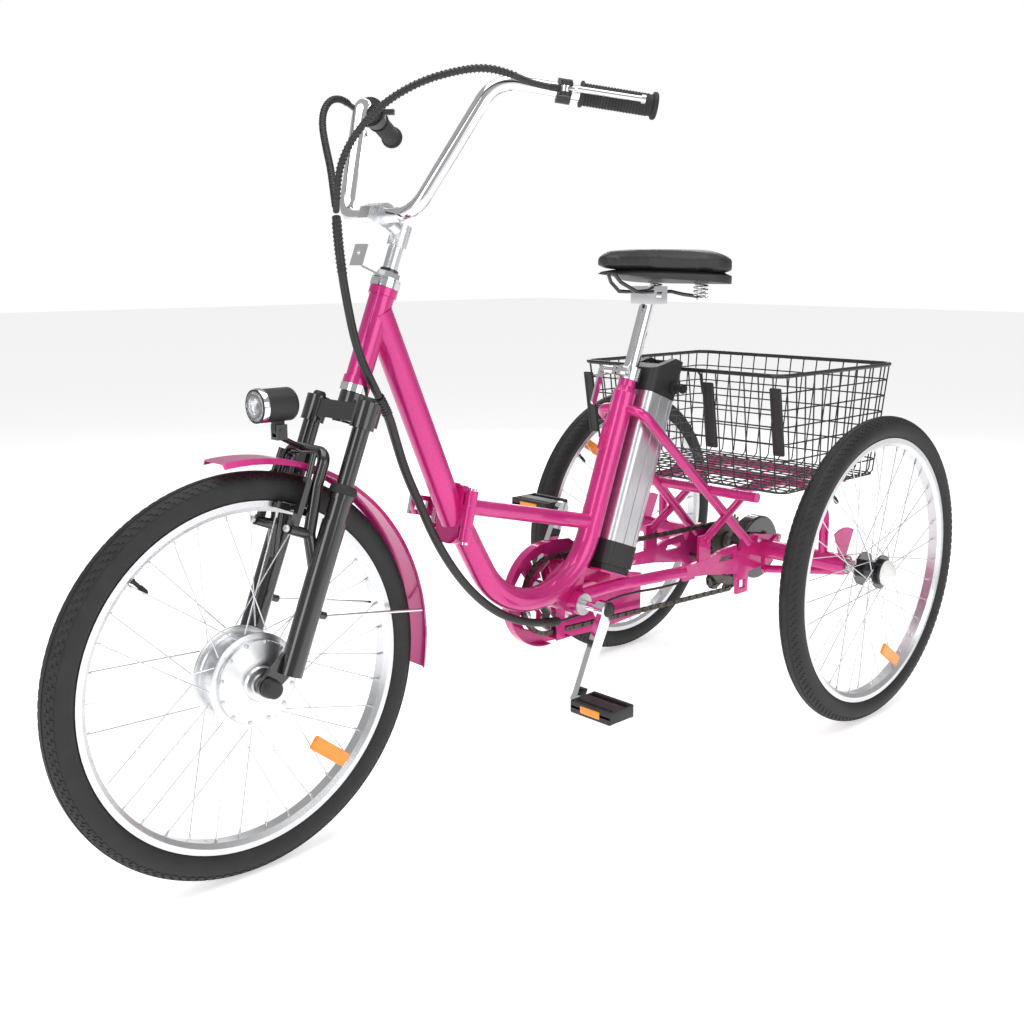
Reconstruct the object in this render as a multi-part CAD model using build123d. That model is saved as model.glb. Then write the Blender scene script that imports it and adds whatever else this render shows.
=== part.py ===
from build123d import *
import os
from math import atan2, cos, pi, radians, sin, sqrt, tan

# An adult folding tricycle with a hub motor in the front wheel.
# +X points forward, +Y to the rider's left, +Z up; the ground is z = 0. Millimetres.

os.makedirs("parts", exist_ok=True)

# ------------------------------------------------------------------ driving sizes
WHEELBASE = 1200.0
REAR_TRACK = 630.0
WHEEL_R = 300.0
TYRE_W = 46.0
TYRE_WALL = 3.0
RIM_W = 30.0
RIM_DEPTH = 16.0
SPOKES = 36
SPOKE_R = 1.0

HEAD_ANGLE = 68.1
SEAT_ANGLE = 69.8
HEAD_TUBE_LEN = 152.0
FORK_OFFSET = 44.0
LEG_SETBACK = 29.0
LEG_SPREAD = 62.0
FORK_LENGTH = 454.0

BB_BEHIND = 522.0          # bottom bracket ahead of the rear axle
BB_HEIGHT = 278.0
CRANK_LEN = 165.0
CRANK_LEAN = 25.6          # left crank, forward of straight down
CHAIN_LINE = 48.0
CHAINRING_TEETH = 36
PITCH = 12.7
COG_TEETH = (28, 24, 22, 20, 18, 16, 14)
COG_PITCH = 5.0
PULLEY_TEETH = 10

MAIN_R = 21.5              # curved main tube and seat tube
DOWN_R = 22.5
STAY_R = 9.5
CHAINSTAY_R = 11.0
CROSSBAR_R = 14.0
HOUSING_R = 19.0
HOUSING_WALL = 3.0
RACK_R = 9.5
AXLE_R = 8.5
POST_R = 13.6
STEERER_R = 14.25
QUILL_R = 11.1
BAR_R = 11.1
CLAMP_BAR_R = 12.7

PLATE_IN = 64.0            # inner face of the rear plates, from the middle
PLATE_T = 7.0
BATTERY_W = 74.0
BATTERY_D = 84.0
BATTERY_LEN = 286.0
BASKET_LEN = 410.0
BASKET_H = 229.0
BASKET_WALL = 3.0
WHEEL_TO_BASKET = 47.0     # each side, tyre to basket
BAR_HALF = 303.0           # middle to bar end

SEAT_GAP = 0.3             # between curved pieces that only touch
RUN_GAP = 0.05             # radial, shaft in its bearing
SLIDE_GAP = 0.05           # radial, telescoping tubes

# ------------------------------------------------------------------ places that follow
FRONT_AXLE = Vector(WHEELBASE / 2, 0, WHEEL_R)
REAR_AXLE = Vector(-WHEELBASE / 2, 0, WHEEL_R)
BB = Vector(REAR_AXLE.X + BB_BEHIND, 0, BB_HEIGHT)
HALF_TRACK = REAR_TRACK / 2
TYRE_MID_R = WHEEL_R - TYRE_W / 2
RIM_OUT_R = WHEEL_R - TYRE_W + 5.0
RIM_IN_R = RIM_OUT_R - RIM_DEPTH


def direction(angle):
    """Unit vector in the XZ plane that leans back from vertical; angle above horizontal."""
    return Vector(-cos(radians(angle)), 0, sin(radians(angle)))


# Fork plane: origin at the front axle, local x forward, y left, z up the steering axis.
FORK = Plane(origin=FRONT_AXLE, x_dir=(sin(radians(HEAD_ANGLE)), 0, cos(radians(HEAD_ANGLE))),
             z_dir=tuple(direction(HEAD_ANGLE)))
# Seat plane: origin at the apex that the main tube bends round, local z up the seat tube.
APEX = Vector(BB.X + 58.0, 0, BB_HEIGHT - 179.0)
SEAT = Plane(origin=APEX, x_dir=(sin(radians(SEAT_ANGLE)), 0, cos(radians(SEAT_ANGLE))),
             z_dir=tuple(direction(SEAT_ANGLE)))
# Hinge plane: local x left, y up along the hinge pin, z forward.
HINGE_LEAN = 13.5
HINGE_POINT = Vector(APEX.X + 221.4, 0, APEX.Z + 384.0)
HINGE = Plane(origin=HINGE_POINT, x_dir=(0, 1, 0),
              z_dir=(cos(radians(HINGE_LEAN)), 0, sin(radians(HINGE_LEAN))))

HEAD_LOW = FORK.from_local_coords(Vector(-FORK_OFFSET, 0, FORK_LENGTH))
HEAD_TOP = FORK.from_local_coords(Vector(-FORK_OFFSET, 0, FORK_LENGTH + HEAD_TUBE_LEN))


# ------------------------------------------------------------------ small makers
def V(*xyz):
    return Vector(*xyz)


def rod(start, end, radius, bore=0.0):
    """Round bar or tube from start to end."""
    start, end = Vector(start), Vector(end)
    place = Plane(origin=start, z_dir=end - start)
    length = (end - start).length
    base = (Align.CENTER, Align.CENTER, Align.MIN)
    solid = place * Cylinder(radius, length, align=base)
    if bore:
        solid -= place * Cylinder(bore, length, align=base)
    return solid


def bent(points, radius, bends, bore=0.0):
    """Round bar along straight runs joined by tangent arcs."""
    points = [Vector(p) for p in points]
    path = FilletPolyline(*points, radius=bends)
    section = Circle(radius)
    if bore:
        section -= Circle(bore)
    place = Plane(origin=points[0], z_dir=points[1] - points[0])
    return sweep(place * section, path=path)


def ring_y(x, z, y0, y1, radius, bore=0.0):
    """Disc or ring whose axis is parallel to Y."""
    return rod((x, y0, z), (x, y1, z), radius, bore)


def block(x0, x1, y0, y1, z0, z1):
    """Box given by two opposite faces on each axis, in whatever plane it is placed on."""
    x0, x1 = sorted((x0, x1))
    y0, y1 = sorted((y0, y1))
    return Pos((x0 + x1) / 2, (y0 + y1) / 2, (z0 + z1) / 2) * Box(x1 - x0, y1 - y0, z1 - z0)


def side_plate(outline, y0, y1):
    """Flat plate with an XZ outline, from y0 to y1."""
    face = Plane.XZ * make_face(Polyline(*outline, close=True))
    return Pos(0, y1, 0) * extrude(face, amount=y1 - y0, dir=(0, -1, 0))


def cord(points, radius):
    """Cable along straight runs, each bend as large as its two runs allow."""
    points = [Vector(p) for p in points]
    bends = []
    for a, b, c in zip(points, points[1:], points[2:]):
        half = radians((b - a).get_angle(c - b)) / 2
        bends.append(0.45 * min((b - a).length, (c - b).length) / tan(half))
    print("cord bends", [round(r) for r in bends])
    return bent(points, radius, bends)


def save(name, shape):
    parts = shape.solids() if not isinstance(shape, (list, tuple)) else [
        s for item in shape for s in item.solids()]
    out = parts[0] if len(parts) == 1 else Compound(children=list(parts))
    export_step(out, f"parts/{name}.step")


# ------------------------------------------------------------------ wheels
def tyre(centre):
    """Hollow tyre seated on the rim's two flanges; axis along Y."""
    place = Plane(origin=centre, x_dir=(1, 0, 0), z_dir=(0, 1, 0))
    body = Torus(TYRE_MID_R, TYRE_W / 2) - Torus(TYRE_MID_R, TYRE_W / 2 - TYRE_WALL)
    body -= Cylinder(RIM_OUT_R + SEAT_GAP, TYRE_W)
    return place * body


def rim(centre):
    half = RIM_W / 2
    flange = 2.5
    well = 6.0
    outline = [(RIM_OUT_R, -half), (RIM_OUT_R, -half + flange), (RIM_OUT_R - well, -half + flange),
               (RIM_OUT_R - well, half - flange), (RIM_OUT_R, half - flange), (RIM_OUT_R, half),
               (RIM_OUT_R - 9, half), (RIM_IN_R, half - 6), (RIM_IN_R, -half + 6),
               (RIM_OUT_R - 9, -half)]
    section = Plane.XZ * make_face(Polyline(*outline, close=True))
    ring = revolve(section, Axis.Z)
    place = Plane(origin=centre, x_dir=(1, 0, 0), z_dir=(0, 1, 0))
    return place * ring


def spokes(centre, flange_r, flange_y, cross):
    """Straight spokes, alternately to each flange and alternately leading and trailing."""
    out = []
    for i in range(SPOKES):
        side = 1 if i % 2 == 0 else -1
        lead = 1 if i % 4 < 2 else -1
        at_rim = 2 * pi * (i + 0.5) / SPOKES
        at_hub = at_rim + lead * radians(cross)
        hub_r = flange_r + SPOKE_R + SEAT_GAP
        rim_r = RIM_IN_R - 0.5
        inner = centre + V(hub_r * cos(at_hub), side * (flange_y + 1.4 * lead), hub_r * sin(at_hub))
        outer = centre + V(rim_r * cos(at_rim), side * 2.0, rim_r * sin(at_rim))
        out.append(rod(inner, outer, SPOKE_R))
    return out


REAR_FLANGE_R = 33.0
REAR_FLANGE_Y = 19.0
HUB_IN = 27.0
HUB_OUT = 30.0
CAP_R = 24.0
CAP_H = 17.0


def rear_hub(side):
    """Flanged hub on the rear axle, with its domed cap as a second solid."""
    c = V(REAR_AXLE.X, side * HALF_TRACK, REAR_AXLE.Z)
    x, z = c.X, c.Z
    hub = ring_y(x, z, c.Y - side * HUB_IN, c.Y + side * HUB_OUT, 17.0)
    for offset in (-REAR_FLANGE_Y, REAR_FLANGE_Y):
        hub += ring_y(x, z, c.Y + offset - 1.75, c.Y + offset + 1.75, REAR_FLANGE_R)
    hub += ring_y(x, z, c.Y + side * 21.0, c.Y + side * HUB_OUT, 25.0)
    hub -= ring_y(x, z, c.Y - side * 40.0, c.Y + side * 40.0, AXLE_R + RUN_GAP)
    face = c.Y + side * (HUB_OUT + 0.2)
    dome_r = (CAP_R ** 2 + CAP_H ** 2) / (2 * CAP_H)
    ball = Pos(x, face - side * (dome_r - CAP_H), z) * Sphere(dome_r)
    cap = ball & ring_y(x, z, face, face + side * (CAP_H + 1), CAP_R + 1)
    cap -= ring_y(x, z, face - side, face + side * 7.0, AXLE_R + 3.0)
    return [hub, cap]


MOTOR_R = 62.0
MOTOR_FLANGE_R = 71.0
MOTOR_HALF = 33.0
MOTOR_FLANGE_Y = 24.0
FRONT_AXLE_R = 6.0
DROPOUT_Y = 54.0
DROPOUT_T = 7.0
DROPOUT_R = 15.0


def hub_motor():
    x, z = FRONT_AXLE.X, FRONT_AXLE.Z
    body = ring_y(x, z, -MOTOR_HALF, MOTOR_HALF, MOTOR_R)
    body = fillet(body.edges().filter_by(GeomType.CIRCLE), 5.0)
    for y in (-MOTOR_FLANGE_Y, MOTOR_FLANGE_Y):
        body += ring_y(x, z, y - 1.75, y + 1.75, MOTOR_FLANGE_R)
    for side in (1, -1):
        body += ring_y(x, z, side * (MOTOR_HALF - 2.0), side * (MOTOR_HALF + 7.0), 34.0)
    body -= ring_y(x, z, -50.0, 50.0, FRONT_AXLE_R + RUN_GAP)
    return body


def front_axle():
    """Fixed axle with its shoulders, washers and nuts."""
    x, z = FRONT_AXLE.X, FRONT_AXLE.Z
    reach = DROPOUT_Y + DROPOUT_T + 14.0
    axle = ring_y(x, z, -reach, reach, FRONT_AXLE_R)
    for side in (1, -1):
        axle += ring_y(x, z, side * (MOTOR_HALF + 7.4), side * (DROPOUT_Y - 0.2), 9.0)
    nuts = []
    for side in (1, -1):
        seat = side * (DROPOUT_Y + DROPOUT_T + 0.2)
        place = Plane(origin=(x, seat, z), x_dir=(1, 0, 0), z_dir=(0, side, 0))
        nut = place * extrude(RegularPolygon(11.5, 6), amount=10.0)
        nut += place * Cylinder(12.5, 2.0, align=(Align.CENTER, Align.CENTER, Align.MIN))
        nut -= ring_y(x, z, -reach - 5, reach + 5, FRONT_AXLE_R + RUN_GAP)
        nuts.append(nut)
    return [axle] + nuts


# ------------------------------------------------------------------ rear frame
FRAME_WALL = 2.5
SEAT_TOP = 629.0           # along the seat tube, from the apex
SWAGE_AT = 585.0
SWAGE_R = 16.2
POST_DEPTH = 330.0
HINGE_PLATE_T = 7.0
HINGE_HALF_H = 50.0
HINGE_HALF_W = 28.0
HINGE_GAP = 0.4
PIN_Y = 38.0
PIN_R = 4.0
KNUCKLE_R = 10.0
KNUCKLE_SPLIT = 18.0
KNUCKLE_END = 42.0
BEND_R = 148.0
STAY_LOW = V(REAR_AXLE.X + 60.0, PLATE_IN + PLATE_T / 2, 322.0)
HOUSING_END = HALF_TRACK - HUB_IN - 26.0
RACK_Z = 449.0
BASKET_Z = RACK_Z + RACK_R + SEAT_GAP
HOOP_HALF = 205.0
SHELL_R = 21.0
SHELL_HALF = 36.0
CARTRIDGE_R = 17.5
GUIDE_ROD = V(REAR_AXLE.X + 80.0, 0, REAR_AXLE.Z - 24.0)
GUIDE_ROD_R = 5.0


def hinge_plate(side):
    """One hinge plate in the hinge plane; side 1 is the front one."""
    z0, z1 = sorted((side * HINGE_GAP / 2, side * (HINGE_GAP / 2 + HINGE_PLATE_T)))
    return Pos(0, 0, z0) * extrude(RectangleRounded(2 * HINGE_HALF_W, 2 * HINGE_HALF_H, 20.0), z1 - z0)


def knuckle(y0, y1, side):
    """Knuckle round the pin with its web into the plate on that side."""
    place = Plane(origin=(PIN_Y, y0, 0), x_dir=(1, 0, 0), z_dir=(0, 1, 0))
    base = (Align.CENTER, Align.CENTER, Align.MIN)
    solid = place * Cylinder(KNUCKLE_R, y1 - y0, align=base)
    z0, z1 = sorted((side * HINGE_GAP / 2, side * (HINGE_GAP / 2 + HINGE_PLATE_T)))
    solid += block(HINGE_HALF_W - 12.0, PIN_Y, y0, y1, z0, z1)
    return solid


def pin_hole():
    place = Plane(origin=(PIN_Y, -60, 0), x_dir=(1, 0, 0), z_dir=(0, 1, 0))
    return place * Cylinder(PIN_R + RUN_GAP, 120, align=(Align.CENTER, Align.CENTER, Align.MIN))


def main_tube():
    """One tube: up to the hinge in front, round the bottom bend, up as the seat tube."""
    hinge_end = HINGE.from_local_coords(V(0, -6.0, -HINGE_PLATE_T))
    seat_end = SEAT.from_local_coords(V(0, 0, SWAGE_AT))
    tube = bent([hinge_end, APEX, seat_end], MAIN_R, BEND_R)
    top = SEAT.from_local_coords(V(0, 0, SEAT_TOP))
    tube += rod(SEAT.from_local_coords(V(0, 0, SWAGE_AT - 25.0)), top, SWAGE_R)
    cone = Cone(MAIN_R, SWAGE_R, 12.0, align=(Align.CENTER, Align.CENTER, Align.MIN))
    tube += SEAT * Pos(0, 0, SWAGE_AT) * cone
    return tube


def main_bore():
    """Inside of the main tube, up to the reamed part that takes the post."""
    hinge_end = HINGE.from_local_coords(V(0, -6.0, -HINGE_PLATE_T))
    post_foot = SEAT.from_local_coords(V(0, 0, POST_DEPTH + 1.0))
    return bent([hinge_end, APEX, post_foot], MAIN_R - FRAME_WALL, BEND_R)


def dropout_plate(side):
    """Rear plate: carries the stays, the slotted hook and the axle housing."""
    ax, az = REAR_AXLE.X, REAR_AXLE.Z
    outline = [(ax + 285, az - 12), (ax + 285, az + 10), (ax + 200, az + 12), (ax + 160, az + 22),
               (ax + 105, az + 26), (ax + 100, az + 12), (ax + 90, az + 12), (ax + 84, az + 36),
               (ax + 45, az + 40), (ax + 20, az + 34), (ax - 28, az + 26), (ax - 40, az),
               (ax - 28, az - 32), (ax + 60, az - 38), (ax + 62, az - 80), (ax + 98, az - 80),
               (ax + 100, az - 36), (ax + 200, az - 20)]
    y0, y1 = sorted((side * PLATE_IN, side * (PLATE_IN + PLATE_T)))
    plate = side_plate(outline, y0, y1)
    plate -= block(ax + 115, ax + 158, y0 - 1, y1 + 1, az - 2, az + 9)
    plate -= block(ax + 148, ax + 162, y0 - 1, y1 + 1, az - 2, az + 4)
    plate -= block(ax + 70, ax + 90, y0 - 1, y1 + 1, az - 70, az - 52)
    return plate


def rear_side(side):
    """Stays, rear plate, axle housing, hoop leg brace on one side."""
    ax, az = REAR_AXLE.X, REAR_AXLE.Z
    y_plate = side * (PLATE_IN + PLATE_T / 2)
    join = SEAT.from_local_coords(V(0, side * 8.0, 556.0))
    bend = SEAT.from_local_coords(V(-2.0, side * 52.0, 552.0))
    low = V(STAY_LOW.X, y_plate, STAY_LOW.Z)
    solid = bent([join, bend, low], STAY_R, 22.0)
    stay_end = V(ax + 270.0, y_plate, az - 1.0)
    solid += bent([V(BB.X - 6.0, side * 24.0, BB.Z + 14.0), V(BB.X - 95.0, side * 30.0, BB.Z + 17.0),
                   stay_end], CHAINSTAY_R, 150.0)
    solid += dropout_plate(side)
    y_out = side * (PLATE_IN + PLATE_T)
    solid += ring_y(ax, az, y_out - side * 1.0, side * HOUSING_END, HOUSING_R)
    flange_y = sorted((y_out - side * 0.5, y_out + side * 5.0))
    for angle in (35.0, 155.0, 275.0):
        tip = V(ax + 42.0 * cos(radians(angle)), 0, az + 42.0 * sin(radians(angle)))
        solid += ring_y(tip.X, tip.Z, flange_y[0], flange_y[1], 9.0)
        arm = Pos(21.0, 0, 0) * Box(42.0, flange_y[1] - flange_y[0], 15.0)
        solid += Pos(ax, sum(flange_y) / 2, az) * Rot(0, -angle, 0) * arm
    fan = [(ax - 10, az + 12)] + [
        (ax + 74.0 * cos(radians(a)), az + 74.0 * sin(radians(a))) for a in (118, 104, 90, 76, 62)
    ] + [(ax + 10, az + 12)]
    fan_y = sorted((side * (HOUSING_END - 14.0), side * (HOUSING_END - 11.0)))
    solid += side_plate(fan, fan_y[0], fan_y[1])
    brace = V(ax + 2.0, side * (PLATE_IN + PLATE_T / 2), az - 26.0)
    solid += rod(brace + V(0, 0, -18.0), V(ax + 2.0, side * (HOUSING_END - 8.0), az - 13.0), 8.0)
    return solid


def rack():
    """Rails, front cross tube and hoop over the axle that carry the basket."""
    ax, az = REAR_AXLE.X, REAR_AXLE.Z
    z = RACK_Z
    front, rear = ax + 192.0, ax - 120.0
    solid = bent([(ax, -HOOP_HALF, az + 10.0), (ax, -HOOP_HALF, z), (ax, HOOP_HALF, z),
                  (ax, HOOP_HALF, az + 10.0)], RACK_R, 70.0)
    solid += rod((front, -175.0, z), (front, 175.0, z), RACK_R)
    solid += rod((rear, -175.0, z), (rear, 175.0, z), RACK_R)
    for side in (1, -1):
        solid += rod((rear, side * 110.0, z), (front, side * 110.0, z), RACK_R - 1.0)
        y_plate = side * (PLATE_IN + PLATE_T / 2)
        foot = V(ax + 210.0, y_plate, az + 50.0)
        solid += rod((ax + 45.0, y_plate, z - 4.0), foot, RACK_R - 1.5)
        solid += block(ax + 192.0, ax + 228.0, y_plate - 3.0, y_plate + 3.0, az, az + 62.0)
        solid += rod((ax + 45.0, y_plate, z - 4.0), (ax + 45.0, side * 110.0, z), RACK_R - 1.5)
    return solid


TRAY_AT = 258.0
TRAY_T = 4.0
BATTERY_FRONT = MAIN_R + 3.0


def battery_tray():
    """Tray under the battery with its web to the chainstay bridge."""
    rear = BATTERY_FRONT + BATTERY_D
    tray = block(-rear, -MAIN_R + 6.0, -BATTERY_W / 2, BATTERY_W / 2, TRAY_AT - TRAY_T, TRAY_AT)
    web = block(-rear + 20.0, -MAIN_R + 6.0, -2.0, 2.0, TRAY_AT - 26.0, TRAY_AT - TRAY_T + 1.0)
    return SEAT * (tray + web)


def gusset():
    """Sheet gusset between the bend and the bottom bracket shell, with a tie to the seat tube."""
    low = BB.Z - 4.0
    outline = [(BB.X + 74.0, BB.Z + 30.0), (BB.X + 12.0, low), (BB.X - 16.0, BB.Z + 6.0),
               (BB.X - 36.0, BB.Z + 90.0), (BB.X + 20.0, BB.Z + 62.0)]
    return side_plate(outline, -15.0, 15.0)


def rear_frame():
    frame = main_tube() + HINGE * hinge_plate(-1)
    frame += HINGE * (knuckle(-KNUCKLE_END, -KNUCKLE_SPLIT - 0.4, -1)
                      + knuckle(KNUCKLE_SPLIT + 0.4, KNUCKLE_END, -1))
    bar_front = HINGE.from_local_coords(V(0, 14.0, -HINGE_PLATE_T / 2))
    bar_rear = SEAT.from_local_coords(V(0, 0, 338.0))
    frame += rod(bar_front, bar_rear, CROSSBAR_R)
    frame += gusset()
    frame += ring_y(BB.X, BB.Z, -SHELL_HALF, SHELL_HALF, SHELL_R)
    for side in (1, -1):
        frame += rear_side(side)
    frame += rack()
    frame += battery_tray()
    ear = SEAT * (block(MAIN_R - 4.0, MAIN_R + 12.0, -3.0, 3.0, 470.0, 520.0))
    frame += ear
    split = KNUCKLE_SPLIT + 0.4
    frame -= HINGE * block(HINGE_HALF_W + 0.5, PIN_Y + 20, -split, split, -KNUCKLE_R - 1, 40)
    frame -= main_bore()
    frame += latch_ears()
    frame -= HINGE * pin_hole()
    frame -= HINGE * block(-60, 60, -90, 90, -HINGE_GAP / 2, 60) & HINGE * block(-60, 25, -90, 90, -1, 60) \
        - HINGE * block(LATCH_Y - 8, -HINGE_HALF_W - 0.5, -90, 90, -1, 60)
    frame -= rod(SEAT.from_local_coords(V(0, 0, POST_DEPTH)),
                 SEAT.from_local_coords(V(0, 0, SEAT_TOP + 5)), POST_R + SLIDE_GAP)
    frame -= ring_y(BB.X, BB.Z, -SHELL_HALF - 1, SHELL_HALF + 1, CARTRIDGE_R)
    frame -= ring_y(GUIDE_ROD.X, GUIDE_ROD.Z, -PLATE_IN + 1, -PLATE_IN - PLATE_T - 1, GUIDE_ROD_R + RUN_GAP)
    ax, az = REAR_AXLE.X, REAR_AXLE.Z
    for side in (1, -1):
        frame -= ring_y(ax, az, side * (PLATE_IN - 2), side * (HOUSING_END + 1), HOUSING_R - HOUSING_WALL)
    return frame


# ------------------------------------------------------------------ on the rear frame
def cartridge():
    """Sealed bottom bracket: outer body and end cups; the spindle turns in its bore."""
    body = ring_y(BB.X, BB.Z, -SHELL_HALF - 2.0, SHELL_HALF + 2.0, CARTRIDGE_R - 0.1)
    for side in (1, -1):
        body += ring_y(BB.X, BB.Z, side * (SHELL_HALF + 0.2), side * (SHELL_HALF + 2.0), CARTRIDGE_R + 2.5)
    return body - ring_y(BB.X, BB.Z, -60, 60, SPINDLE_R + RUN_GAP)


COLLAR_R = 21.0
COLLAR_LOW = SEAT_TOP - 20.0
SKEWER_OUT = 31.0
SKEWER_R = 3.0


def seat_collar():
    """Split clamp round the top of the seat tube with its skewer, nut and lever head."""
    base = (Align.CENTER, Align.CENTER, Align.MIN)
    ring = Pos(0, 0, COLLAR_LOW) * Cylinder(COLLAR_R, 24.0, align=base)
    ring += block(12.0, SKEWER_OUT + 7.0, -10.0, 10.0, COLLAR_LOW + 2.0, COLLAR_LOW + 18.0)
    ring -= Pos(0, 0, COLLAR_LOW - 1) * Cylinder(SWAGE_R + 0.15, 21.0, align=base)
    ring -= Pos(0, 0, COLLAR_LOW - 1) * Cylinder(POST_R + SLIDE_GAP, 30.0, align=base)
    ring -= block(10.0, 60.0, -1.5, 1.5, COLLAR_LOW - 1, COLLAR_LOW + 30)
    z = COLLAR_LOW + 10.0
    ring -= rod((SKEWER_OUT, -40, z), (SKEWER_OUT, 40, z), SKEWER_R + 0.2)
    skewer = rod((SKEWER_OUT, -30.0, z), (SKEWER_OUT, 24.0, z), SKEWER_R)
    skewer += rod((SKEWER_OUT, -30.0, z), (SKEWER_OUT, -10.4, z), 7.0)
    skewer += rod((SKEWER_OUT, 10.4, z), (SKEWER_OUT, 22.0, z), 8.0)
    return [SEAT * ring, SEAT * skewer]


QR_PIVOT = V(SKEWER_OUT, -36.0, COLLAR_LOW + 10.0)


def seat_lever():
    """Quick-release lever, closed: it hangs beside the seat tube."""
    x, y, z = QR_PIVOT
    lever = rod((x - 8.0, y, z), (x + 8.0, y, z), 5.5)
    lever += block(x - 6.0, x + 6.0, y - 8.0, y - 3.5, z - 62.0, z)
    lever += rod((x, y - 8.0, z - 62.0), (x, y - 3.5, z - 62.0), 6.0)
    return SEAT * lever


def chainring_outline(teeth, tip=3.2, root=3.6):
    """Toothed disc outline about the origin, four points a tooth."""
    pitch_r = sprocket_r(teeth)
    step = 2 * pi / teeth
    points = []
    for i in range(teeth):
        for share, radius in ((-0.34, pitch_r - root), (-0.12, pitch_r + tip),
                              (0.12, pitch_r + tip), (0.34, pitch_r - root)):
            a = (i + share) * step
            points.append((radius * cos(a), radius * sin(a)))
    return points


def sprocket_r(teeth):
    return PITCH / (2 * sin(pi / teeth))


def toothed_disc(centre, teeth, y, thick, bore):
    place = Plane(origin=(centre.X, y + thick / 2, centre.Z), x_dir=(1, 0, 0), z_dir=(0, -1, 0))
    face = make_face(Polyline(*chainring_outline(teeth), close=True))
    disc = place * extrude(face, thick)
    return disc - ring_y(centre.X, centre.Z, y - 20, y + 20, bore)


TOOTH_T = 2.2
CHAIN_Y = -CHAIN_LINE
PLATE_GAP = 4.6            # between the chain's side plates
CHAIN_PLATE_T = 1.5
CHAIN_H = 8.0
COG_ON = 18
GUIDE = V(REAR_AXLE.X + 14.0, CHAIN_Y, REAR_AXLE.Z - 84.0)
TENSION = V(REAR_AXLE.X - 36.0, CHAIN_Y, REAR_AXLE.Z - 98.0)


def chain_edges(offset):
    """Closed chain line about ring, cog, guide and tension pulley, moved sideways by offset."""
    stops = [(BB, sprocket_r(CHAINRING_TEETH), 1), (REAR_AXLE, sprocket_r(COG_ON), 1),
             (GUIDE, sprocket_r(PULLEY_TEETH), -1), (TENSION, sprocket_r(PULLEY_TEETH), 1)]
    runs = []
    for i, (c1, r1, s1) in enumerate(stops):
        c2, r2, s2 = stops[(i + 1) % len(stops)]
        r1, r2 = r1 - s1 * offset, r2 - s2 * offset
        dx, dz = c2.X - c1.X, c2.Z - c1.Z
        lean = s2 * r2 - s1 * r1
        a = atan2(dz, dx) - atan2(lean, sqrt(dx * dx + dz * dz - lean * lean))
        left = (-sin(a), cos(a))
        runs.append(((c1.X - s1 * r1 * left[0], c1.Z - s1 * r1 * left[1]),
                     (c2.X - s2 * r2 * left[0], c2.Z - s2 * r2 * left[1])))
    edges = []
    for i, (start, end) in enumerate(runs):
        edges.append(Line(start, end))
        centre, radius, sense = stops[(i + 1) % len(stops)]
        radius -= sense * offset
        leave = runs[(i + 1) % len(runs)][0]
        a0 = atan2(end[1] - centre.Z, end[0] - centre.X)
        a1 = atan2(leave[1] - centre.Z, leave[0] - centre.X)
        turn = (a1 - a0) * sense % (2 * pi)
        mid = a0 + sense * turn / 2
        edges.append(ThreePointArc(end, (centre.X + radius * cos(mid), centre.Z + radius * sin(mid)), leave))
    return edges


def drive_chain():
    """The chain's two rows of side plates, each as one closed band."""
    band = make_face(Wire(chain_edges(-CHAIN_H / 2))) - make_face(Wire(chain_edges(CHAIN_H / 2)))
    rows = []
    for y in (CHAIN_Y - PLATE_GAP / 2, CHAIN_Y + PLATE_GAP / 2 + CHAIN_PLATE_T):
        rows.append(Pos(0, y, 0) * extrude(Plane.XZ * band, amount=CHAIN_PLATE_T, dir=(0, -1, 0)))
    return rows


GUARD_Y = -73.0
GUARD_T = 2.0
GUARD_R = 100.0
GUARD_LIP = 17.0


def chain_guard():
    """Pressed guard: spoked disc with a lip, a tail over the lower run and its bracket."""
    ax, az = REAR_AXLE.X, REAR_AXLE.Z
    disc = ring_y(BB.X, BB.Z, GUARD_Y, GUARD_Y + GUARD_T, GUARD_R)
    tail = [(BB.X - 10, BB.Z + GUARD_R - 1), (BB.X - 74, BB.Z + 93), (ax + 315, az - 16),
            (ax + 233, az - 36), (ax + 233, az - 124), (BB.X - 150, BB.Z - 108),
            (BB.X - 10, BB.Z - GUARD_R + 1)]
    guard = disc + side_plate(tail, GUARD_Y, GUARD_Y + GUARD_T)
    lip = ring_y(BB.X, BB.Z, GUARD_Y, GUARD_Y + GUARD_LIP, GUARD_R, GUARD_R - GUARD_T)
    guard += lip & block(BB.X - 10, BB.X + GUARD_R + 1, GUARD_Y - 1, 0, 0, BB.Z + GUARD_R + 1)
    guard -= ring_y(BB.X, BB.Z, GUARD_Y - 1, GUARD_Y + GUARD_T + 1, 30.0)
    for i in range(5):
        a = radians(18 + 72 * i)
        hole = [(BB.X + r * cos(a + w), BB.Z + r * sin(a + w))
                for r, w in ((38, -0.28), (72, -0.42), (76, 0), (72, 0.42), (38, 0.28))]
        guard -= side_plate(hole, GUARD_Y - 1, GUARD_Y + GUARD_T + 1)
    drop = sprocket_r(CHAINRING_TEETH) + 13.0
    guard += block(BB.X - 45, BB.X - 15, GUARD_Y + 1, -SHELL_HALF - 2.2, BB.Z - drop - 3, BB.Z - drop)
    guard += block(BB.X - 30, BB.X - 8, -SHELL_HALF - 5.0, -SHELL_HALF - 2.2, BB.Z - drop - 3, BB.Z - 10)
    guard += ring_y(BB.X, BB.Z, -SHELL_HALF - 5.0, -SHELL_HALF - 2.2, 20.0, 12.0)
    return guard - ring_y(BB.X, BB.Z, -SHELL_HALF - 6.0, -SHELL_HALF - 1.0, 12.0)


BASKET_W = REAR_TRACK - TYRE_W - 2 * WHEEL_TO_BASKET
BASKET_FRONT = REAR_AXLE.X + 235.0
BASKET_TAPER_FRONT = 40.0
BASKET_TAPER_REAR = 30.0
BASKET_TAPER_SIDE = 10.0
BASKET_CORNER = 22.0


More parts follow.
